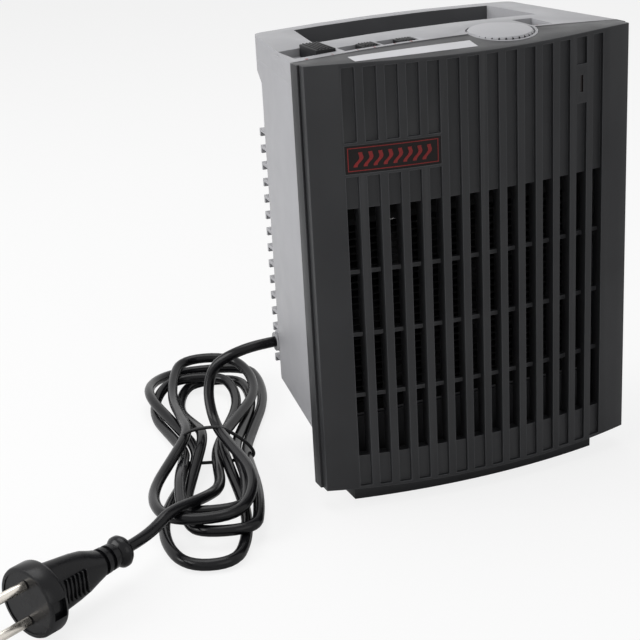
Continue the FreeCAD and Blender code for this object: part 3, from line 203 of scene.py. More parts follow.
# The soft lamps: (name, place, target, size, power), in metres and watts.
LAMPS = [
    ("key", (-1.5, 0.15, 0.75), (0, 0.02, 0.12), (1.2, 1.0), 19),
    ("top", (-0.1, 0.35, 1.8), (0, 0, 0.2), (1.4, 1.2), 16),
    ("fill", (0.5, -1.8, 0.8), (0, 0, 0.12), (1.4, 1.2), 5),
]
# The even light from all round, and how much of the floor's white the camera sees.
SURROUND = 0.24
FLOOR_WHITE = 0.82
# The camera: its lens in millimetres, its shift, its turn, height and roll in degrees, and the place it
# looks at and its distance from it in metres.
LENS = 87.96
SHIFT = (0.0703, 0.0859)
VIEW_ANGLES = (-19.27, 21.53, -3.96)
VIEW_TARGET = (-0.1008, 0, 0.06505)
VIEW_DISTANCE = 0.8674


class HeaterSizes(bpy.types.PropertyGroup):
    """Sizes of the pieces that this add-on makes."""

    cord_diameter: bpy.props.FloatProperty(
        name="Cord diameter", description="Thickness of the round lead", default=0.0063, unit="LENGTH"
    )
    edge_round: bpy.props.FloatProperty(
        name="Edge round", description="Radius along the mouldings' edges", default=0.0005, unit="LENGTH"
    )


class HeaterColours(bpy.types.PropertyGroup):
    """Colours of the mouldings and trims."""

    panel: bpy.props.FloatVectorProperty(
        name="Panel", description="Front panel, bezel and foot", default=(0.028, 0.0285, 0.0305),
        subtype="COLOR"
    )
    body: bpy.props.FloatVectorProperty(
        name="Body", description="Casing, cover and rear grille", default=(0.33, 0.33, 0.345), subtype="COLOR"
    )
    # The knob's hollows get this dark colour too, as painted shade.
    switch: bpy.props.FloatVectorProperty(
        name="Switches", description="Slide caps and knob hollows", default=(0.010, 0.010, 0.011),
        subtype="COLOR"
    )
    cord: bpy.props.FloatVectorProperty(
        name="Cord", description="Lead and plug", default=(0.005, 0.005, 0.006), subtype="COLOR"
    )
    badge: bpy.props.FloatVectorProperty(
        name="Print", description="Printed lines of the badge and figures of the deck",
        default=(0.20, 0.012, 0.012), subtype="COLOR"
    )


# ---------------------------------------------------------------- finishes


def new_material(slot):
    """An empty node material for a slot, with its node tree and its Principled shader."""
    material = bpy.data.materials.new("finish_" + slot)
    material.use_nodes = True
    tree = material.node_tree
    shader = tree.nodes["Principled BSDF"]
    return material, tree, shader


def noise(tree, scale, detail=3.0, roughness=0.55):
    """A noise pattern in the piece's own coordinates, at so many features a metre."""
    place = tree.nodes.new("ShaderNodeTexCoord")
    pattern = tree.nodes.new("ShaderNodeTexNoise")
    pattern.inputs["Scale"].default_value = scale
    pattern.inputs["Detail"].default_value = detail
    pattern.inputs["Roughness"].default_value = roughness
    tree.links.new(place.outputs["Object"], pattern.inputs["Vector"])
    return pattern.outputs["Fac"]


def spread(tree, value, low, high):
    """Maps a noise pattern to the range low to high."""
    node = tree.nodes.new("ShaderNodeMapRange")
    node.inputs["From Min"].default_value = NOISE_LOW
    node.inputs["From Max"].default_value = NOISE_HIGH
    node.inputs["To Min"].default_value = low
    node.inputs["To Max"].default_value = high
    tree.links.new(value, node.inputs["Value"])
    return node.outputs["Result"]


def tinted(tree, value, colour, change):
    """The colour, a little darker and lighter where the pattern goes."""
    ramp = tree.nodes.new("ShaderNodeValToRGB")
    ramp.color_ramp.elements[0].position = NOISE_LOW
    ramp.color_ramp.elements[1].position = NOISE_HIGH
    for element, share in zip(ramp.color_ramp.elements, (1 - change, 1 + change)):
        element.color = (*[c * share for c in colour], 1)
    tree.links.new(value, ramp.inputs["Fac"])
    return ramp.outputs["Color"]


def bumped(tree, shader, value, depth, strength):
    """Raises the surface where the pattern is high, by depth in metres."""
    bump = tree.nodes.new("ShaderNodeBump")
    bump.inputs["Strength"].default_value = strength
    bump.inputs["Distance"].default_value = depth
    tree.links.new(value, bump.inputs["Height"])
    tree.links.new(bump.outputs["Normal"], shader.inputs["Normal"])


def moulded(slot, colour, roughness, grain=1400, depth=0.00008, change=0.12, specular=0.5):
    """Spark-eroded moulded plastic: a fine grain, with slow changes of colour and of gloss."""
    material, tree, shader = new_material(slot)
    tree.links.new(tinted(tree, noise(tree, 22), colour, change), shader.inputs["Base Color"])
    tree.links.new(
        spread(tree, noise(tree, 60), roughness - 0.04, roughness + 0.05), shader.inputs["Roughness"]
    )
    shader.inputs["Specular IOR Level"].default_value = specular
    bumped(tree, shader, noise(tree, grain, 2), depth, 0.35)
    return material


def painted_edge_highlights(material, colour, share, reach):
    """Lightens a plastic along its sharp edges: a painted highlight where they would catch the light."""
    tree = material.node_tree
    shader = tree.nodes["Principled BSDF"]
    plain = shader.inputs["Base Color"].links[0].from_socket
    rounded = tree.nodes.new("ShaderNodeBevel")
    rounded.samples = 6
    rounded.inputs["Radius"].default_value = reach
    place = tree.nodes.new("ShaderNodeNewGeometry")
    facing = tree.nodes.new("ShaderNodeVectorMath")
    facing.operation = "DOT_PRODUCT"
    tree.links.new(rounded.outputs["Normal"], facing.inputs[0])
    tree.links.new(place.outputs["Normal"], facing.inputs[1])
    edge = tree.nodes.new("ShaderNodeMapRange")
    edge.inputs["From Min"].default_value = EDGE_HIGHLIGHT_START
    edge.inputs["From Max"].default_value = EDGE_HIGHLIGHT_FULL
    edge.inputs["To Max"].default_value = share
    tree.links.new(facing.outputs["Value"], edge.inputs["Value"])
    mix = tree.nodes.new("ShaderNodeMix")
    mix.data_type = "RGBA"
    mix.inputs["B"].default_value = (*colour, 1)
    tree.links.new(edge.outputs["Result"], mix.inputs["Factor"])
    tree.links.new(plain, mix.inputs["A"])
    tree.links.new(mix.outputs["Result"], shader.inputs["Base Color"])


def metal(slot, colour, roughness):
    """Plain metal with slow changes of colour and of gloss."""
    tree, shader = new_material(slot)[1:]
    shader.inputs["Metallic"].default_value = 1
    tree.links.new(tinted(tree, noise(tree, 90), colour, 0.08), shader.inputs["Base Color"])
    tree.links.new(
        spread(tree, noise(tree, 400), roughness - 0.05, roughness + 0.08), shader.inputs["Roughness"]
    )


def make_finishes(colours):
    """Makes the finish of each of the record's slots, and those of the prints, the label and the recess's
    painted shade.
    """
    panel, body, cord = tuple(colours.panel), tuple(colours.body), tuple(colours.cord)
    knob = tuple(min(1, KNOB_LIGHTER * share) for share in body)
    edge_highlight = [EDGE_HIGHLIGHT_LIGHTER * share for share in panel]
    recess = [RECESS_SHADE_LIGHTER * share for share in panel]
    # The panel's plastic gets a painted highlight along its sharp edges.
    painted_edge_highlights(moulded("panel_plastic", panel, 0.42, specular=0.25), edge_highlight, share=0.8, reach=0.0007)
    moulded("body_plastic", body, 0.45, change=0.03, specular=0.3)
    moulded("cover_plastic", body, 0.45, change=0.03, specular=0.3)
    moulded("grille_plastic", body, 0.47, change=0.03, specular=0.3)
    moulded("foot_plastic", panel, 0.45, specular=0.25)
    moulded("badge_field", (0.010, 0.007, 0.007), 0.3, grain=500, depth=0.00002, specular=0.2)
    moulded("lamp_lens", (0.008, 0.004, 0.004), 0.15, grain=300, depth=0.00001, specular=0.3)
    moulded("pad_rubber", (0.02, 0.02, 0.02), 0.7, specular=0.2)
    moulded("knob_plastic", knob, 0.42, change=0.04, specular=0.35)
    moulded("switch_plastic", tuple(colours.switch), 0.45, depth=0.00003, specular=0.15)
    moulded("inner_plastic", (0.006, 0.006, 0.006), 0.55, specular=0.05)
    moulded("ceramic", (0.020, 0.018, 0.016), 0.6, grain=900, specular=0.05)
    # The fins' dark colour is painted shade, where they lie deep behind the grille; it is not the bare
    # aluminium's own.
    moulded("fin_aluminium", (0.014, 0.014, 0.0145), 0.5, grain=900, specular=0.05)
    metal("plated_steel", (0.5, 0.5, 0.5), 0.3)
    metal("motor_steel", (0.2, 0.2, 0.2), 0.4)
    moulded("fan_plastic", (0.012, 0.012, 0.012), 0.5, specular=0.1)
    moulded("grommet_rubber", (0.30, 0.30, 0.31), 0.5, specular=0.3)
    moulded("cord_sheath", cord, 0.2, grain=260, depth=0.00005, change=0.2, specular=0.2)
    moulded("tie_plastic", (0.012, 0.012, 0.013), 0.45, grain=800, specular=0.3)
    moulded("plug_moulding", cord, 0.26, grain=900, depth=0.00005, change=0.2, specular=0.22)
    metal("plug_nickel", (0.72, 0.68, 0.62), 0.22)
    moulded("print_red", tuple(colours.badge), 0.45, grain=800, depth=0.00001, specular=0.3)
    # The recess's darker finish is painted shade, not a colour of its own.
    moulded("recess_plastic", recess, 0.5, specular=0.2)
    moulded("label_foil", (0.55, 0.55, 0.57), 0.4, grain=900, depth=0.00001, change=0.06, specular=0.4)


def finish_of(slot):
    """The material of a slot, made by the finishes operator."""
    return bpy.data.materials["finish_" + slot]


# ---------------------------------------------------------------- helpers


def clear_selection():
    """Leaves nothing selected and no active object."""
    if bpy.context.object and bpy.context.object.mode != "OBJECT":
        bpy.ops.object.mode_set(mode="OBJECT")
    bpy.ops.object.select_all(action="DESELECT")
    bpy.context.view_layer.objects.active = None


def smooth_line(name, points, diameter):
    """An open NURBS cord that follows control points, which are in millimetres."""
    curve = bpy.data.curves.new(name, "CURVE")
    curve.dimensions = "3D"
    spline = curve.splines.new("NURBS")
    spline.points.add(len(points) - 1)
    for point, place in zip(spline.points, points):
        point.co = (*[c * MM for c in place], 1)
    spline.order_u = 3
    spline.use_endpoint_u = True
    spline.resolution_u = 6
    curve.bevel_depth = diameter / 2
    curve.bevel_resolution = 5
    curve.use_fill_caps = True
    piece = bpy.data.objects.new(name, curve)
    bpy.context.scene.collection.objects.link(piece)
    return piece


# ---------------------------------------------------------------- the lead


def hank_place(along, across, height):
    """A place in the hank, in millimetres, from its distances along and across its waist."""
    place = WAIST + ALONG * along + ACROSS * across
    return (place.x, place.y, height)


def middle(a, b):
    """The mean of two numbers."""
    return (a + b) / 2


def loop_side(reach, spread_to, start, heights):
    """One side of a loop from the waist to its end, with the waist left out."""
    waist, side, end = heights
    levels = (middle(waist, side), side, middle(side, end), end)
    return [
        (reach * far, start + (spread_to - start) * wide, level)
        for (far, wide), level in zip(LOOP_SHAPE, levels)
    ]


def hank_points():
    """The lead's points through the hank: each turn goes round the near loop and the far one."""
    first = TURNS[0]
    points = [hank_place(0, first["waist"][0], first["heights"][0])]
    for turn in TURNS:
        enter, back, leave = turn["waist"]
        reach, right, left = turn["near"]
        heights = turn["heights"]
        line = loop_side(-reach, right, enter, heights[0:3])
        line += loop_side(-reach, left, back, heights[4:1:-1])[::-1]
        line += [(0, back, heights[4])]
        reach, right, left = turn["far"]
        line += loop_side(reach, left, back, heights[4:7])
        line += loop_side(reach, right, leave, heights[8:5:-1])[::-1]
        line += [(0, leave, heights[8])]
        points += [hank_place(*place) for place in line]
    return points


class HEATER_OT_lead(bpy.types.Operator):
    """Lay the lead from the heater through its hank to the plug"""

    bl_idname = "heater.lead"
    bl_label = "Lead"

    def execute(self, context):
        clear_selection()
        sizes = context.scene.heater_sizes
        route = LEAD_POINTS + hank_points() + TAIL_POINTS
        lead = smooth_line("lead", route, sizes.cord_diameter)
        lead.data.materials.append(finish_of("cord_sheath"))
        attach(lead, "heater")
        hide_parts("cord_lead", "cord_hank", "cord_tail")
        return {"FINISHED"}


class HEATER_OT_finishes(bpy.types.Operator):
    """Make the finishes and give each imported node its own"""

    bl_idname = "heater.finishes"
    bl_label = "Finishes"

    def execute(self, context):
        make_finishes(context.scene.heater_colours)
        for part in frame["record"]["subparts"]:
            for slot in frame["nodes"][part["node"]].material_slots:
                slot.material = finish_of(part["material_slot"])
        return {"FINISHED"}


# ---------------------------------------------------------------- mouldings


def select_where(piece, kind, test):
    """In edit mode, selects the piece's vertices, edges or faces that pass a test."""
    bpy.ops.object.mode_set(mode="OBJECT")
    mesh = piece.data
    for item in (*mesh.vertices, *mesh.edges, *mesh.polygons):
        item.select = False
    for item in getattr(mesh, kind):
        item.select = test(item)
    bpy.ops.object.mode_set(mode="EDIT")
    bpy.ops.mesh.select_mode(type={"vertices": "VERT", "edges": "EDGE", "polygons": "FACE"}[kind])


def take_up(piece):
    """Selects one piece alone and makes it active."""
    clear_selection()
    piece.select_set(True)
    bpy.context.view_layer.objects.active = piece


def eased_copy(node_name, radius):
    """A copy of a packed moulding whose sharp edges are rounded, which then stands for it."""
    node = frame["nodes"][node_name]
    piece = bpy.data.objects.new("eased_" + node_name, node.data.copy())
    bpy.context.scene.collection.objects.link(piece)
    take_up(piece)
    if piece.data.has_custom_normals:
        bpy.ops.mesh.customdata_custom_splitnormals_clear()
    bpy.ops.object.mode_set(mode="EDIT")
    bpy.ops.mesh.select_all(action="SELECT")
    bpy.ops.mesh.remove_doubles(threshold=0.000005)
    bpy.ops.mesh.dissolve_limited(angle_limit=math.radians(0.6))
    bpy.ops.object.mode_set(mode="OBJECT")
    ease = piece.modifiers.new("ease", "BEVEL")
    ease.width = radius
    ease.segments = 2
    ease.limit_method = "ANGLE"
    ease.angle_limit = math.radians(38)
    ease.use_clamp_overlap = True
    bpy.ops.object.modifier_apply(modifier=ease.name)
    bpy.ops.object.shade_smooth_by_angle(angle=math.radians(32))
    slot = next(part["material_slot"] for part in frame["record"]["subparts"] if part["node"] == node_name)
    dress(piece, slot, body_of(node_name))
    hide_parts(node_name)
    return piece


def body_of(node_name):
    """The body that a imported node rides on."""
    for body, nodes in frame["record"]["behaviour"]["bodies"].items():
        if node_name in nodes:
            return body
    return "heater"


def dress(piece, slot, body="heater", finish=None):
    """Gives a piece its body and its finish, which is the slot's own unless one is named."""
    piece.data.materials.clear()
    piece.data.materials.append(finish_of(finish or slot))
    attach(piece, body)


class HEATER_OT_mouldings(bpy.types.Operator):
    """Round the sharp edges of the case's mouldings"""

    bl_idname = "heater.mouldings"
    bl_label = "Mouldings"

    def execute(self, context):
        radius = context.scene.heater_sizes.edge_round
        for node_name, share in EASED.items():
            piece = eased_copy(node_name, share * radius)
            if node_name == "top_cover":
                self.paint_recess_shade(piece)
            if node_name == "thermostat_knob":
                self.paint_flute_shade(piece)
        return {"FINISHED"}

    def paint_recess_shade(self, piece):
        """Paints shade onto the floor and the rear wall of the handle recess with a darker finish."""
        piece.data.materials.append(finish_of("recess_plastic"))
        low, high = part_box("top_cover")
        for face in piece.data.polygons:
            x, y, z = face.center
            if abs(x) < RECESS_HALF and y > RECESS_FRONT and low[2] < z < high[2] - RECESS_RIM:
                face.material_index = 1 if abs(face.normal.z) > 0.5 or face.normal.y < -0.5 else 0

    def paint_flute_shade(self, piece):
        """Paints shade into the hollows between the knob's ribs with a dark finish; the rim's crests stay
        bare.
        """
        piece.data.materials.append(finish_of("switch_plastic"))
        low, high = (Vector(corner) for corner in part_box("thermostat_knob"))
        axis = (low + high) / 2
        radius = (high.x - low.x) / 2
        for face in piece.data.polygons:
            reach = (Vector(face.center) - axis).xy.length
            face.material_index = 1 if abs(face.normal.z) < 0.5 and reach < radius - FLUTE_START else 0


# ---------------------------------------------------------------- slides


def bevelled_block(name, low, high, radius):
    """A block between two corners, with rounded edges."""
    clear_selection()
    bpy.ops.mesh.primitive_cube_add(
        size=1, location=[(a + b) / 2 for a, b in zip(low, high)], scale=[b - a for a, b in zip(low, high)]
    )
    piece = bpy.context.object
    piece.name = name
    bpy.ops.object.transform_apply(location=True, rotation=True, scale=True)
    bpy.ops.object.mode_set(mode="EDIT")
    bpy.ops.mesh.bevel(offset=radius, segments=3, affect="EDGES")
    bpy.ops.object.mode_set(mode="OBJECT")
    bpy.ops.object.shade_smooth_by_angle(angle=math.radians(50))
    return piece


def row_of(piece, step, number):
    """A piece and its copies, each with its own mesh and one step further than the last."""
    row = [piece]
    while len(row) < number:
        take_up(row[-1])
        bpy.ops.object.duplicate()
        bpy.ops.transform.translate(value=step)
        bpy.ops.object.transform_apply(location=True, rotation=True, scale=True)
        row.append(bpy.context.object)
    return row


class HEATER_OT_slides(bpy.types.Operator):
    """Model the ribbed caps of the three slides, each on its own slider"""

    bl_idname = "heater.slides"
    bl_label = "Slides"

    def execute(self, context):
        for node_name, rise in CAP_RISE.items():
            low, high = (Vector(corner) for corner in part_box(node_name))
            top = high.z + rise * MM
            foot = top - CAP_HEIGHT * MM
            cap = bevelled_block(
                "cap_" + node_name, (low.x, low.y, foot), (high.x, high.y, top), CAP_ROUND * MM
            )
            pieces = [self.stem(low, high, foot), *self.ribs(low, high, top)]
            take_up(cap)
            for piece in pieces:
                piece.select_set(True)
            bpy.ops.object.join()
            dress(cap, "switch_plastic", body_of(node_name))
            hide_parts(node_name)
        return {"FINISHED"}

    def stem(self, low, high, foot):
        """The square stem in the middle of a cap, from its node's foot up into it."""
        centre = (low + high) / 2
        half = STEM_HALF * MM
        return bevelled_block(
            "stem", (centre.x - half, centre.y - half, low.z), (centre.x + half, centre.y + half, foot + MM),
            STEM_ROUND * MM
        )

    def ribs(self, low, high, top):
        """The finger ribs across the top of a cap."""
        pitch = (high.x - low.x) / (CAP_RIBS + 1)
        x = low.x + pitch
        first = bevelled_block(
            "rib", (x - RIB_HALF * MM, low.y + RIB_MARGIN * MM, top - RIB_SINK * MM),
            (x + RIB_HALF * MM, high.y - RIB_MARGIN * MM, top + RIB_RISE * MM), RIB_ROUND * MM
        )
        return row_of(first, (pitch, 0, 0), CAP_RIBS)


# ---------------------------------------------------------------- trims


def apply_modifiers(piece):
    """Applies all the modifiers of the active piece in their order."""
    take_up(piece)
    for name in [modifier.name for modifier in piece.modifiers]:
        bpy.ops.object.modifier_apply(modifier=name)


def lay_on(piece, node_name, axis, thickness):
    """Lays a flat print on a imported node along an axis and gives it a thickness, outwards."""
    lay = piece.modifiers.new("lay", "SHRINKWRAP")
    lay.wrap_method = "PROJECT"
    lay.target = frame["nodes"][node_name]
    lay.use_project_x = axis == "x"
    lay.use_project_y = axis == "y"
    lay.use_project_z = axis == "z"
    lay.use_negative_direction = True
    lay.use_positive_direction = True
    lay.project_limit = PRINT_REACH
    lay.offset = PRINT_GAP
    body = piece.modifiers.new("body", "SOLIDIFY")
    body.thickness = thickness
    body.offset = 1
    apply_modifiers(piece)


def upright_strip(name, centre, size, cuts):
    """A flat strip that faces the front, cut into so many columns along its width."""
    clear_selection()
    bpy.ops.mesh.primitive_grid_add(
        x_subdivisions=cuts, y_subdivisions=2, size=1, location=centre, rotation=(math.pi / 2, 0, 0)
    )
    piece = bpy.context.object
    piece.name = name
    piece.scale = (*size, 1)
    bpy.ops.object.transform_apply(location=True, rotation=True, scale=True)
    return piece


class HEATER_OT_badge(bpy.types.Operator):
    """Print the badge's thin frame and its row of slanted heat strokes"""

    bl_idname = "heater.badge"
    bl_label = "Badge"

    def execute(self, context):
        low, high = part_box("badge_plate")
        centre = [(a + b) / 2 for a, b in zip(low, high)]
        centre[1] = low[1] - 2 * MM
        width, height = high[0] - low[0], high[2] - low[2]
        border = upright_strip("badge_border", centre, (
            width - BORDER_LESS[0] * MM, height - BORDER_LESS[1] * MM
        ), 30)
        bpy.ops.object.mode_set(mode="EDIT")
        bpy.ops.mesh.select_all(action="SELECT")
        bpy.ops.mesh.inset(thickness=BORDER_LINE * MM, use_boundary=True, use_even_offset=True)
        bpy.ops.mesh.delete(type="FACE")
        bpy.ops.object.mode_set(mode="OBJECT")
        lay_on(border, "badge_plate", "y", BORDER_THICK * MM)
        dress(border, "badge_field", finish="print_red")
        across, up = STROKE_PLACE
        stroke = upright_strip(
            "badge_strokes", (low[0] + across * MM, centre[1], low[2] + up * MM),
            (STROKE_SIZE[0] * MM, STROKE_SIZE[1] * MM), 3
        )
        upper = low[2] + (up + STROKE_SIZE[1] / 4) * MM
        select_where(stroke, "edges", lambda edge: all(
            stroke.data.vertices[k].co.z > upper for k in edge.vertices
        ))
        for step in range(STROKE_STEPS):
            sway = STROKE_LEAN * MM + STROKE_SWAY * MM * math.sin(2 * math.pi * step / STROKE_STEPS)
            bpy.ops.mesh.extrude_region_move(TRANSFORM_OT_translate={"value": (sway, 0, STROKE_RISE * MM)})
        bpy.ops.object.mode_set(mode="OBJECT")
        row = stroke.modifiers.new("row", "ARRAY")
        row.count = STROKE_COUNT
        row.use_relative_offset = False
        row.use_constant_offset = True
        row.constant_offset_displace = (STROKE_PITCH * MM, 0, 0)
        lay_on(stroke, "badge_plate", "y", STROKE_THICK * MM)
        dress(stroke, "badge_field", finish="print_red")
        return {"FINISHED"}


def deck_print(name, text, place, height):
    """A small plain figure printed on the deck, with its place and height in millimetres."""
    clear_selection()
    bpy.ops.object.text_add(location=(0, 0, 0))
    piece = bpy.context.object
    piece.name = name
    piece.data.body = text
    piece.data.size = height * MM
    piece.data.align_x = "CENTER"
    piece.data.align_y = "CENTER"
    bpy.ops.object.convert(target="MESH")
    piece = bpy.context.object
    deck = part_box("top_cover")[1][2]
    piece.location = (place[0] * MM, place[1] * MM, deck + PRINT_START)
    bpy.ops.object.transform_apply(location=True, rotation=True, scale=True)
    bpy.ops.object.mode_set(mode="EDIT")
    bpy.ops.mesh.select_all(action="SELECT")
    bpy.ops.mesh.remove_doubles(threshold=0.000002)
    bpy.ops.object.mode_set(mode="OBJECT")
    lay_on(piece, "top_cover", "z", MARK_THICK * MM)
    dress(piece, "cover_plastic", finish="print_red")


class HEATER_OT_prints(bpy.types.Operator):
    """Lay the bare foil label and the small marks on the top"""

    bl_idname = "heater.prints"
    bl_label = "Prints"

    def execute(self, context):
        clear_selection()
        panel_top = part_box("front_panel")[1][2]
        across, back = LABEL_CENTRE
        bpy.ops.mesh.primitive_grid_add(
            x_subdivisions=24, y_subdivisions=6, size=1,
            location=(across * MM, back * MM, panel_top + PRINT_START),
        )
        label = context.object
        label.name = "foil_label"
        label.scale = (LABEL_SIZE[0] * MM, LABEL_SIZE[1] * MM, 1)
        label.rotation_euler = (0, 0, math.radians(LABEL_TURN))
        bpy.ops.object.transform_apply(location=True, rotation=True, scale=True)
        lay_on(label, "front_panel", "z", LABEL_THICK * MM)
        dress(label, "panel_plastic", finish="label_foil")
        for mark in DECK_MARKS:
            deck_print(*mark)
        return {"FINISHED"}


# ---------------------------------------------------------------- tie and plug


class HEATER_OT_tie(bpy.types.Operator):
    """Bind the hank's waist with a thin wire tie whose ends are twisted together"""

    bl_idname = "heater.tie"
    bl_label = "Tie"

    def execute(self, context):
        clear_selection()
        ring = bpy.data.curves.new("tie", "CURVE")
        ring.dimensions = "3D"
        spline = ring.splines.new("NURBS")
        spline.points.add(len(TIE_RING) - 1)
        for point, (across, height) in zip(spline.points, TIE_RING):
            place = hank_place(TIE_ALONG, across, height)
            point.co = (*[c * MM for c in place], 1)
        spline.use_cyclic_u = True
        spline.order_u = 3
        spline.resolution_u = 8
        ring.bevel_depth = TIE_RADIUS * MM
        ring.bevel_resolution = 3
        tie = bpy.data.objects.new("tie", ring)
        context.scene.collection.objects.link(tie)
        take_up(tie)
        bpy.ops.object.convert(target="MESH")
        tie = context.object
        # The twisted ends: a flattened bar twisted along its length.
        clear_selection()
        bpy.ops.mesh.primitive_cylinder_add(vertices=12, radius=1, depth=2, end_fill_type="NGON")
        ends = context.object
        ends.name = "tie_ends"
        ends.scale = [half * MM for half in TWIST_HALVES]
        bpy.ops.object.transform_apply(location=False, rotation=False, scale=True)
        heights = [vertex.co.z for vertex in ends.data.vertices]
        select_where(ends, "edges", lambda edge: abs(
            heights[edge.vertices[0]] - heights[edge.vertices[1]]
        ) > MM)
        bpy.ops.mesh.subdivide(number_cuts=24)
        bpy.ops.object.mode_set(mode="OBJECT")
        twist = ends.modifiers.new("twist", "SIMPLE_DEFORM")
        twist.deform_method = "TWIST"
        twist.deform_axis = "Z"
        twist.angle = math.radians(TWIST_TURN)
        apply_modifiers(ends)
        place = Vector(hank_place(TIE_ALONG - 2, TIE_RING[0][0] - 2.5, 7)) * MM
        lie = Vector((-0.55, -0.8, 0.12)).normalized().to_track_quat("Z", "Y")
        ends.matrix_world = Matrix.Translation(place) @ lie.to_matrix().to_4x4()
        take_up(ends)
        bpy.ops.object.transform_apply(location=True, rotation=True, scale=True)
        tie.select_set(True)
        context.view_layer.objects.active = tie
        bpy.ops.object.join()
        bpy.ops.object.shade_smooth_by_angle(angle=math.radians(50))
        dress(tie, "tie_plastic")
        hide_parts("cord_tie")
        return {"FINISHED"}


def plug_place():
    """The plug's frame: its cord end, and its axis as +Z with its pins' line as +Y."""
    way = Vector((-0.875, -0.485, 0)).normalized()
    pins = Vector((0, 0, 1))
    side = pins.cross(way)
    turn = Matrix((side, pins, way)).transposed().to_4x4()
    return Matrix.Translation(Vector(TAIL_POINTS[-1]) * MM) @ turn


class HEATER_OT_plug(bpy.types.Operator):
    """Model the moulded plug: collar, grooved neck, flat grip with ribs and round face with notches"""

    bl_idname = "heater.plug"
    bl_label = "Plug"

    def execute(self, context):
        clear_selection()
        distance, half_width = PLUG_STATIONS[0][:2]
        bpy.ops.mesh.primitive_circle_add(
            vertices=PLUG_SIDES, radius=half_width * MM, location=(0, 0, distance * MM), fill_type="NGON"
        )
        plug = context.object
        plug.name = "plug"
        bpy.ops.object.transform_apply(location=True, rotation=True, scale=True)
        bpy.ops.object.mode_set(mode="EDIT")
        bpy.ops.mesh.select_all(action="SELECT")
        for last, (step, wide, high) in zip(PLUG_STATIONS, PLUG_STATIONS[1:]):
            bpy.ops.mesh.extrude_region_move(
                TRANSFORM_OT_translate={"value": (0, 0, (step - last[0]) * MM)}
            )
            bpy.ops.transform.resize(value=(wide / last[1], high / last[2], 1))
        bpy.ops.mesh.inset(thickness=FACE_RIM * MM)
        bpy.ops.mesh.extrude_region_move(TRANSFORM_OT_translate={"value": (0, 0, -FACE_DEPTH * MM)})
        # The notches on both sides of the face's rim, for the earth contacts.
        select_where(plug, "polygons", lambda face: (
            NOTCH_FROM * MM < face.center.z < NOTCH_TO * MM
            and abs(face.center.y) < NOTCH_HALF * MM
            and abs(face.center.x) > NOTCH_OUT * MM
        ))
        bpy.ops.mesh.extrude_region_shrink_fatten(
            TRANSFORM_OT_shrink_fatten={"value": -NOTCH_DEPTH * MM}
        )
        bpy.ops.mesh.select_all(action="SELECT")
        bpy.ops.mesh.normals_make_consistent(inside=False)
        bpy.ops.object.mode_set(mode="OBJECT")
        bpy.ops.object.shade_smooth_by_angle(angle=math.radians(38))
        # The ribs on the two flats of the grip.
        centre = Vector((-GRIP_RIB_OUT, 0, GRIP_RIB_START))
        half = GRIP_RIB_SIZE / 2
        first = bevelled_block("grip_rib", (centre - half) * MM, (centre + half) * MM, GRIP_RIB_ROUND * MM)
        ribs = []
        for rib in row_of(first, (0, 0, GRIP_RIB_PITCH * MM), GRIP_RIBS):
            ribs += row_of(rib, (2 * GRIP_RIB_OUT * MM, 0, 0), 2)
        take_up(plug)
        for rib in ribs:
            rib.select_set(True)
        bpy.ops.object.join()
        plug.matrix_world = plug_place()
        bpy.ops.object.transform_apply(location=True, rotation=True, scale=True)
        dress(plug, "plug_moulding")
        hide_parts("plug_body")
        return {"FINISHED"}


# ---------------------------------------------------------------- stage


def area_light(name, place, target, size, power):
    """A soft light at a place, turned to a target."""
    light = bpy.data.lights.new(name, "AREA")
    light.shape = "RECTANGLE"
    light.size, light.size_y = size
    light.energy = power
    lamp = bpy.data.objects.new(name, light)
    lamp.location = place
    lamp.rotation_euler = (Vector(target) - Vector(place)).to_track_quat("-Z", "Y").to_euler()
    bpy.context.scene.collection.objects.link(lamp)


def seen_white(tree, plain, white):
    """Mixes a plain shader with a white one that camera, mirror and glass rays see."""
    path = tree.nodes.new("ShaderNodeLightPath")
    either = tree.nodes.new("ShaderNodeMath")
    either.operation = "MAXIMUM"
    tree.links.new(path.outputs["Is Camera Ray"], either.inputs[0])
    tree.links.new(path.outputs["Is Glossy Ray"], either.inputs[1])
    glass = tree.nodes.new("ShaderNodeMath")
    glass.operation = "MAXIMUM"
    tree.links.new(either.outputs[0], glass.inputs[0])
    tree.links.new(path.outputs["Is Transmission Ray"], glass.inputs[1])
    mix = tree.nodes.new("ShaderNodeMixShader")
    tree.links.new(glass.outputs[0], mix.inputs[0])
    tree.links.new(plain, mix.inputs[1])
    tree.links.new(white, mix.inputs[2])
    return mix.outputs[0]


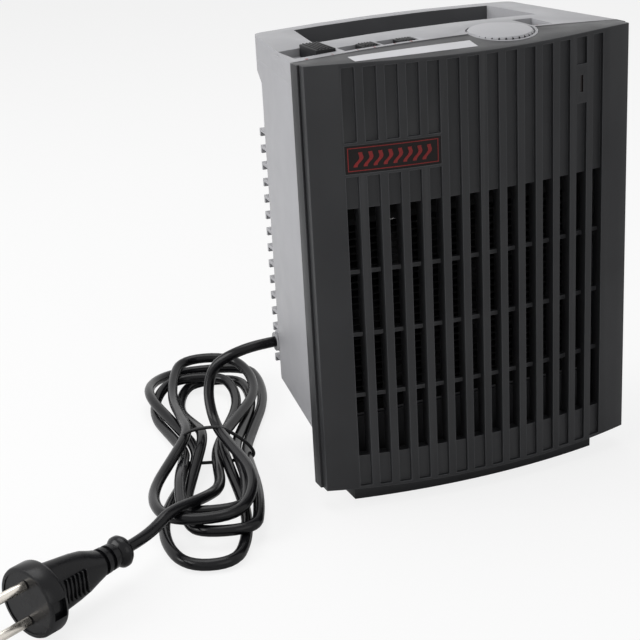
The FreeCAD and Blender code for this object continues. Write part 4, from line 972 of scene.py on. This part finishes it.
class HEATER_OT_stage(bpy.types.Operator):
    """Set the floor, the soft light and the camera"""

    bl_idname = "heater.stage"
    bl_label = "Stage"

    def execute(self, context):
        clear_selection()
        context.scene.view_settings.view_transform = "Standard"
        self.lay_floor(context)
        self.surround(context)
        for lamp in LAMPS:
            area_light(*lamp)
        self.place_camera(context)
        return {"FINISHED"}

    def lay_floor(self, context):
        """A pale floor just under the pads, which the camera sees nearly white."""
        bpy.ops.mesh.primitive_plane_add(size=14, location=(0, 0, -0.0002))
        floor = context.object
        floor.name = "floor"
        material = bpy.data.materials.new("floor_white")
        material.use_nodes = True
        tree = material.node_tree
        tree.nodes.clear()
        plain = tree.nodes.new("ShaderNodeBsdfDiffuse")
        plain.inputs["Color"].default_value = (0.86, 0.86, 0.86, 1)
        white = tree.nodes.new("ShaderNodeEmission")
        path = tree.nodes.new("ShaderNodeLightPath")
        share = tree.nodes.new("ShaderNodeMath")
        share.operation = "MULTIPLY"
        share.inputs[1].default_value = FLOOR_WHITE
        tree.links.new(path.outputs["Is Camera Ray"], share.inputs[0])
        mix = tree.nodes.new("ShaderNodeMixShader")
        tree.links.new(share.outputs[0], mix.inputs[0])
        tree.links.new(plain.outputs[0], mix.inputs[1])
        tree.links.new(white.outputs[0], mix.inputs[2])
        out = tree.nodes.new("ShaderNodeOutputMaterial")
        tree.links.new(mix.outputs[0], out.inputs["Surface"])
        floor.data.materials.append(material)

    def surround(self, context):
        """An even light from all round, behind which the camera sees white."""
        world = bpy.data.worlds.new("surroundings")
        context.scene.world = world
        world.use_nodes = True
        tree = world.node_tree
        tree.nodes.clear()
        plain = tree.nodes.new("ShaderNodeBackground")
        plain.inputs["Strength"].default_value = SURROUND
        white = tree.nodes.new("ShaderNodeBackground")
        for shade in (plain, white):
            shade.inputs["Color"].default_value = (1, 1, 1, 1)
        out = tree.nodes.new("ShaderNodeOutputWorld")
        tree.links.new(seen_white(tree, plain.outputs[0], white.outputs[0]), out.inputs["Surface"])

    def place_camera(self, context):
        """The camera, turned round its target and rolled a little."""
        camera = bpy.data.cameras.new("camera")
        camera.lens = LENS
        camera.sensor_width = 36
        camera.shift_x, camera.shift_y = SHIFT
        eye = bpy.data.objects.new("camera", camera)
        context.scene.collection.objects.link(eye)
        around, above, roll = (math.radians(angle) for angle in VIEW_ANGLES)
        back = Vector(
            (math.sin(around) * math.cos(above), -math.cos(around) * math.cos(above), math.sin(above))
        )
        level = Vector((math.cos(around), math.sin(around), 0))
        upright = back.cross(level)
        right = level * math.cos(roll) + upright * math.sin(roll)
        up = upright * math.cos(roll) - level * math.sin(roll)
        place = Vector(VIEW_TARGET) + back * VIEW_DISTANCE
        eye.matrix_world = Matrix.Translation(place) @ Matrix((right, up, back)).transposed().to_4x4()
        context.scene.camera = eye


class HEATER_PT_steps(bpy.types.Panel):
    """The steps that dress the heater, in their order"""

    bl_idname = "HEATER_PT_steps"
    bl_label = "Ceramic heater"
    bl_space_type = "VIEW_3D"
    bl_region_type = "UI"
    bl_category = "Heater"

    def draw(self, context):
        for step in STEPS:
            self.layout.operator(step.bl_idname)


STEPS = (
    HEATER_OT_finishes, HEATER_OT_mouldings, HEATER_OT_slides, HEATER_OT_badge, HEATER_OT_prints,
    HEATER_OT_plug, HEATER_OT_lead, HEATER_OT_tie, HEATER_OT_stage,
)
GROUPS = (HeaterSizes, HeaterColours)


def register():
    """Adds the property groups, the operators and the panel."""
    for item in (*GROUPS, *STEPS, HEATER_PT_steps):
        bpy.utils.register_class(item)
    bpy.types.Scene.heater_sizes = bpy.props.PointerProperty(type=HeaterSizes)
    bpy.types.Scene.heater_colours = bpy.props.PointerProperty(type=HeaterColours)


def unregister():
    """Takes them away again."""
    del bpy.types.Scene.heater_colours
    del bpy.types.Scene.heater_sizes
    for item in reversed((*GROUPS, *STEPS, HEATER_PT_steps)):
        bpy.utils.unregister_class(item)


def main():
    """Dresses the heater."""
    register()
    bpy.ops.heater.finishes()
    bpy.ops.heater.mouldings()
    bpy.ops.heater.slides()
    bpy.ops.heater.badge()
    bpy.ops.heater.prints()
    bpy.ops.heater.plug()
    bpy.ops.heater.lead()
    bpy.ops.heater.tie()
    bpy.ops.heater.stage()


if __name__ == "__main__":
    main()
